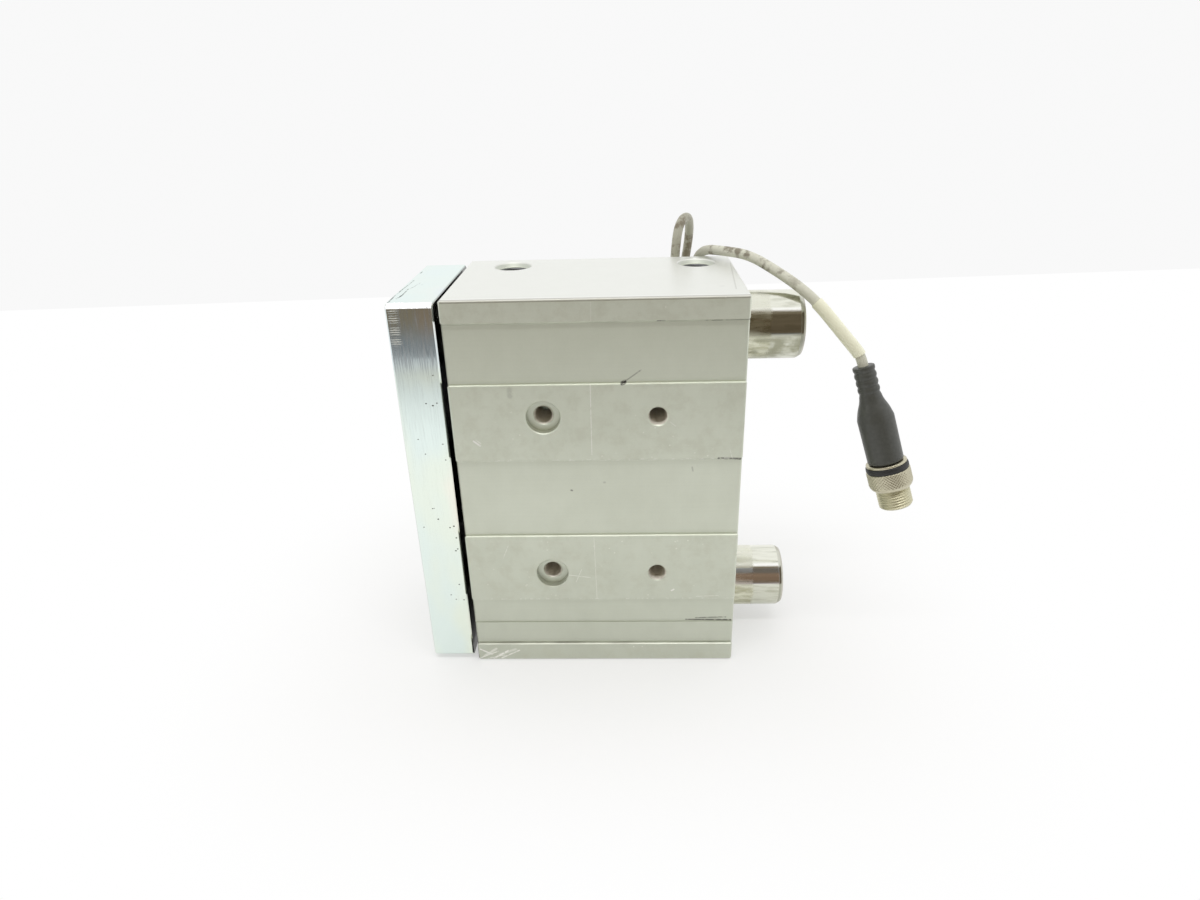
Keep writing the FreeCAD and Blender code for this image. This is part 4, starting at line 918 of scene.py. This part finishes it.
# Coupling nut: rim and groove for the band, knurled grip, bevel, external thread and bore
NUT_RIM = [(36.3, 5.5), (36.3, 7.0), (36.5, 7.2), (37.05, 7.2)]
NUT_GROOVE = [(37.2, 7.05), (37.2, 7.0), (39.4, 7.0), (39.4, 7.45)]
NUT_BEVEL = [(45.0, 7.6), (45.8, 7.15), (46.4, 6.55), (46.6, 6.35), (46.6, 5.58)]
NUT_BORE = [(53.3, 5.65), (53.6, 5.4), (53.6, 4.9), (46.6, 4.9), (46.6, 5.5)]
NUT_SEGMENTS = 252
NUT_SHARP_ANGLE = 70
NUT_RADIUS = 7.8
KNURL_START = 39.65
KNURL_END = 44.6
KNURL_ROWS = 42
KNURL_COUNT = 42
KNURL_PITCH = 1.15
KNURL_DEPTH = 0.24
THREAD_START = 46.9
THREAD_END = 53.0
THREAD_ROWS = 76
THREAD_RADIUS = 6.0
THREAD_DEPTH = 0.42
THREAD_PITCH = 1.0


def knurled(distance, turn):
    around = KNURL_COUNT * turn
    along = distance / KNURL_PITCH
    ridge = swell(around + along) * swell(around - along)
    return NUT_RADIUS - KNURL_DEPTH * (1.0 - ridge)


def threaded(distance, turn):
    return THREAD_RADIUS - THREAD_DEPTH * (1.0 - swell(distance / THREAD_PITCH - turn))


def nut_profile():
    grip = [(distance, knurled) for distance in steps(KNURL_START, KNURL_END, KNURL_ROWS)]
    thread = [(distance, threaded) for distance in steps(THREAD_START, THREAD_END, THREAD_ROWS)]
    return NUT_RIM + NUT_GROOVE + grip + NUT_BEVEL + thread + NUT_BORE


nut_mesh = lathe(
    "coupling_nut_knurled",
    nut_profile(),
    NUT_SEGMENTS,
    PLUG_TAIL,
    PLUG_AXIS,
    closed=True,
    sharp=NUT_SHARP_ANGLE,
)
nut = add_piece("coupling_nut_knurled", nut_mesh, "nickel_brass", "plug_nut", "coupling_nut")

# Rubber band in the nut's groove, with a rounded back
BAND_MIDDLE = 38.3
BAND_HALF = 1.08
BAND_FLOOR = 7.02
BAND_RISE = 0.55
BAND_ROUNDNESS = 0.5
BAND_ROWS = 16
BAND_SEGMENTS = 96


def band_profile():
    rows = []
    for angle in steps(math.pi, 0.0, BAND_ROWS):
        rise = BAND_RISE * math.sin(angle) ** BAND_ROUNDNESS
        rows.append((BAND_MIDDLE + BAND_HALF * math.cos(angle), BAND_FLOOR + rise))
    return rows


band_mesh = lathe("nut_band_rounded", band_profile(), BAND_SEGMENTS, PLUG_TAIL, PLUG_AXIS, closed=True)
band = add_piece("nut_band_rounded", band_mesh, "black_rubber", "plug_nut", "nut_band")

# Threads in the fixing holes and the supply ports
HOLE_AXIS = Vector((0, 1, 0))
HOLE_THREAD_END = -16.0
HOLE_THREAD = dict(radius=3.39, depth=0.28, pitch=1.25)
PORT_AXIS = Vector((0, 0, -1))
PORT_THREAD_TOP = 146.2
PORT_THREAD = dict(radius=5.79, depth=0.4, pitch=1.337, length=8.0)
RIDGE_SLOPE = 1.25
THREAD_INSET = 0.2
ROWS_PER_TURN = 6
HOLE_SEGMENTS = 48


def line_hole(name, paint, start, axis, radius, depth, pitch, length):
    """A thin threaded sleeve on the wall of a hole."""

    def ridged(distance, turn):
        return radius - depth * min(1.0, RIDGE_SLOPE * wave(distance / pitch - turn))

    count = int(length / pitch * ROWS_PER_TURN)
    ridges = [(distance, ridged) for distance in steps(length - THREAD_INSET, THREAD_INSET, count)]
    rows = [(length, radius), *ridges, (0.0, radius)]
    mesh = lathe(name, rows, HOLE_SEGMENTS, start, axis, closed=True)
    add_piece(name, mesh, "anodised_aluminium", "cylinder", paint=paint)


for column, (hole_x, hole_start) in enumerate(HOLE_COLUMNS):
    for row, hole_z in enumerate(HOLE_ROWS):
        line_hole(
            f"fixing_thread_{column}_{row}",
            PAINTS["oily_bore"],
            Vector((hole_x, hole_start, hole_z)),
            HOLE_AXIS,
            length=HOLE_THREAD_END - hole_start,
            **HOLE_THREAD,
        )
for end, port_x in PORTS.items():
    port = Vector((port_x, PORT_Y, PORT_THREAD_TOP))
    line_hole(f"port_thread_{end}", PAINTS["shaded_port"], port, PORT_AXIS, **PORT_THREAD)

# Sensor cable, and the marker sleeve between two distances back from the plug's tail along it
CABLE_ROUNDNESS = 6
CABLE_STEPS = 12
MARKER_NEAR = 4.0
MARKER_FAR = 28.6
MARKER_OUTER = 2.25
MARKER_INNER = 1.86
MARKER_SEGMENTS = 32


def cable_curve(name, bevel):
    curve = bpy.data.curves.new(name, "CURVE")
    curve.dimensions = "3D"
    curve.bevel_depth = bevel
    curve.bevel_resolution = CABLE_ROUNDNESS
    curve.resolution_u = CABLE_STEPS
    curve.use_fill_caps = True
    spline = curve.splines.new("NURBS")
    spline.points.add(len(CABLE_ROUTE) - 1)
    for point, place in zip(spline.points, CABLE_ROUTE):
        point.co = (*(Vector(place) * MM), 1.0)
    spline.order_u = 3
    spline.use_endpoint_u = True
    return curve


def cable_line():
    """Points along the middle of the cable, in millimetres, from the sensor to the plug."""
    curve = cable_curve("cable_middle", 0.0)
    bare = bpy.data.objects.new("cable_middle", curve)
    bpy.context.collection.objects.link(bare)
    mesh = bpy.data.meshes.new_from_object(bare)
    line = [vertex.co / MM for vertex in mesh.vertices]
    bpy.data.objects.remove(bare)
    bpy.data.curves.remove(curve)
    bpy.data.meshes.remove(mesh)
    return line


def marker_mesh():
    line = cable_line()[::-1]
    kept = []
    walked = 0.0
    for previous, point in zip(line, line[1:]):
        walked += (point - previous).length
        if MARKER_NEAR <= walked <= MARKER_FAR:
            kept.append(point)
    side = Vector((0, 1, 0))
    last = len(kept) - 1
    outer = []
    inner = []
    for number, point in enumerate(kept):
        along = (kept[min(number + 1, last)] - kept[max(number - 1, 0)]).normalized()
        side = (side - along * side.dot(along)).normalized()
        outward = spokes(side, along.cross(side), MARKER_SEGMENTS)
        outer.append([point + spoke * MARKER_OUTER for spoke in outward])
        inner.append([point + spoke * MARKER_INNER for spoke in outward])
    return ring_mesh("cable_marker_sleeve", outer + inner[::-1], closed=True)


marker = add_piece("cable_marker_sleeve", marker_mesh(), "marker_plastic", "cylinder", "cable_marker")
cable_data = cable_curve("sensor_cable_line", CABLE_DIAMETER / 2 * MM)
cable = add_piece("sensor_cable_line", cable_data, "cable_jacket", "cylinder", "sensor_cable")


# Camera, floor and light


def make_camera():
    data = bpy.data.cameras.new("camera")
    data.sensor_width = SENSOR_WIDTH
    data.lens = FOCAL_PIXELS / PHOTO_WIDTH * SENSOR_WIDTH
    data.clip_start = CLIP_START
    camera = bpy.data.objects.new("camera", data)
    bpy.context.collection.objects.link(camera)
    backward = -CAMERA_FORWARD.normalized()
    right = CAMERA_RIGHT.normalized()
    up = backward.cross(right)
    turn = Matrix((right, up, backward)).transposed().to_4x4()
    camera.matrix_world = Matrix.Translation(CAMERA_PLACE) @ turn
    bpy.context.scene.camera = camera


def add_stage(name, corners, material):
    mesh = bpy.data.meshes.new(name)
    mesh.from_pydata(corners, [], [tuple(range(len(corners)))])
    mesh.materials.append(material)
    sheet = bpy.data.objects.new(name, mesh)
    bpy.context.collection.objects.link(sheet)
    return sheet


# The floor ends where the photograph's back wall begins; its corners and its drop are in metres. A fade is a
# start, an end and the glow at both: the glow grows with the distance from the object's footprint, for the
# camera and for mirrors, and with the distance from the tent's opening.
FLOOR_CORNERS = [(-4.0, -4.0), (4.0, -4.0), (4.0, 0.862), (-4.0, 0.333)]
FLOOR_DROP = 0.0002
FOOTPRINT = (71.5, 32.0)
SEEN_FADE = (0.0, 120.0, 0.48, 1.0)
MIRRORED_FADE = (0.0, 150.0, 0.4, 1.0)
DIMMED_FADE = (-420.0, -240.0, 0.6, 1.0)
PAPER_DARK = (0.895, 0.897, 0.885)
PAPER_LIGHT = (0.905, 0.905, 0.895)


def floor_paint():
    """White paper with the object's shadow on it; its reflections are dimmer towards the opening."""
    paint = Paint("floor_paper")
    paint.put("Base Color", paint.mix(paint.noise(size=60, detail=2), PAPER_DARK, PAPER_LIGHT))
    paint.put("Roughness", 0.7)
    outside = []
    for place, half in zip((paint.x, paint.y), FOOTPRINT):
        beyond = paint.math("SUBTRACT", paint.math("ABSOLUTE", place), half)
        outside.append(paint.math("POWER", paint.math("MAXIMUM", beyond, 0.0), 2.0))
    distance = paint.math("SQRT", paint.total(*outside))
    rays = paint.add("ShaderNodeLightPath")
    seen = paint.largest(rays.outputs["Is Camera Ray"], rays.outputs["Is Transmission Ray"])
    seen = paint.product(seen, paint.ramp(distance, *SEEN_FADE))
    mirrored = paint.product(rays.outputs["Is Glossy Ray"], paint.ramp(distance, *MIRRORED_FADE))
    white = paint.add("ShaderNodeEmission")
    dimmed = paint.ramp(paint.y, *DIMMED_FADE)
    paint.set(white.inputs["Strength"], paint.largest(dimmed, rays.outputs["Is Camera Ray"]))
    both = paint.add("ShaderNodeMixShader")
    paint.set(both.inputs[0], paint.largest(seen, mirrored))
    paint.set(both.inputs[1], paint.shader.outputs[0])
    paint.set(both.inputs[2], white.outputs[0])
    paint.set(paint.output.inputs[0], both.outputs[0])
    return paint


# The open front of the light tent: dim, and left out of the camera's own view. Its sizes are in metres, and
# its zones in millimetres.
OPENING_DEPTH = -0.42
OPENING_HALF = 0.5
OPENING_TOP = 0.93
SIDE_ZONE = (410.0, 500.0)
CLOTH_TOP_ZONE = (810.0, 930.0)
FLOOR_LINE_ZONE = (14.0, 34.0)
FLOOR_LINE_COLOUR = (0.225, 0.235, 0.25)
ROOM_COLOUR = (0.235, 0.19, 0.14)
ROOM_STREAK_COVER = ((0.08, 0.06, 0.04), 0.35)


def opening_paint():
    """A brown room beyond the tent, bluish near its floor, that fades into cloth at the sides and top."""
    paint = Paint("tent_opening")
    room = paint.mix(paint.ramp(paint.z, *FLOOR_LINE_ZONE), FLOOR_LINE_COLOUR, ROOM_COLOUR)
    streaks = paint.patches(start=0.35, end=0.65, size=90, stretch=(6, 1, 1))
    room = paint.tint(room, ROOM_STREAK_COVER, streaks)
    sides = paint.ramp(paint.math("ABSOLUTE", paint.x), *SIDE_ZONE)
    cloth = paint.largest(sides, paint.ramp(paint.z, *CLOTH_TOP_ZONE))
    light = paint.add("ShaderNodeEmission")
    paint.set(light.inputs["Color"], paint.mix(cloth, room, grey(1.0)))
    paint.set(paint.output.inputs[0], light.outputs[0])
    return paint


def make_stage():
    floor = add_stage("floor", [(x, y, 0.0) for x, y in FLOOR_CORNERS], floor_paint().material)
    floor.location.z = -FLOOR_DROP
    corners = [
        (-OPENING_HALF, OPENING_DEPTH, 0.0),
        (OPENING_HALF, OPENING_DEPTH, 0.0),
        (OPENING_HALF, OPENING_DEPTH, OPENING_TOP),
        (-OPENING_HALF, OPENING_DEPTH, OPENING_TOP),
    ]
    opening = add_stage("tent_opening", corners, opening_paint().material)
    opening.visible_camera = False


# The white cloth of the tent, and what the camera sees of it
CLOTH_LIGHT = 1.0
CLOTH_SEEN = 0.945


def make_world():
    world = bpy.data.worlds.new("tent")
    bpy.context.scene.world = world
    world.use_nodes = True
    tree = world.node_tree
    tree.nodes.clear()
    output = tree.nodes.new("ShaderNodeOutputWorld")
    both = tree.nodes.new("ShaderNodeMixShader")
    rays = tree.nodes.new("ShaderNodeLightPath")
    for level, socket in zip((CLOTH_LIGHT, CLOTH_SEEN), both.inputs[1:]):
        cloth = tree.nodes.new("ShaderNodeBackground")
        cloth.inputs["Color"].default_value = (*grey(level), 1.0)
        tree.links.new(cloth.outputs[0], socket)
    tree.links.new(rays.outputs["Is Camera Ray"], both.inputs[0])
    tree.links.new(both.outputs[0], output.inputs[0])


# A strip lamp over the tent's opening, in metres and watts; it leaves the chrome rods out
LAMP_PLACE = (0.0, -0.37, 0.94)
LAMP_LENGTH = 0.9
LAMP_WIDTH = 0.05
LAMP_POWER = 3.2


def make_lamp():
    data = bpy.data.lights.new("front_strip", "AREA")
    data.shape = "RECTANGLE"
    data.size = LAMP_LENGTH
    data.size_y = LAMP_WIDTH
    data.energy = LAMP_POWER
    lamp = bpy.data.objects.new("front_strip", data)
    lamp.location = LAMP_PLACE
    bpy.context.collection.objects.link(lamp)
    mirrors = bpy.data.collections.new("mirror_bright")
    for subpart in frame["record"]["subparts"]:
        if subpart["material_slot"] == "chrome_steel":
            mirrors.objects.link(frame["nodes"][subpart["node"]])
    for member in mirrors.collection_objects:
        member.light_linking.link_state = "EXCLUDE"
    lamp.light_linking.receiver_collection = mirrors


make_camera()
make_stage()
make_world()
make_lamp()
bpy.context.scene.view_settings.view_transform = "Standard"
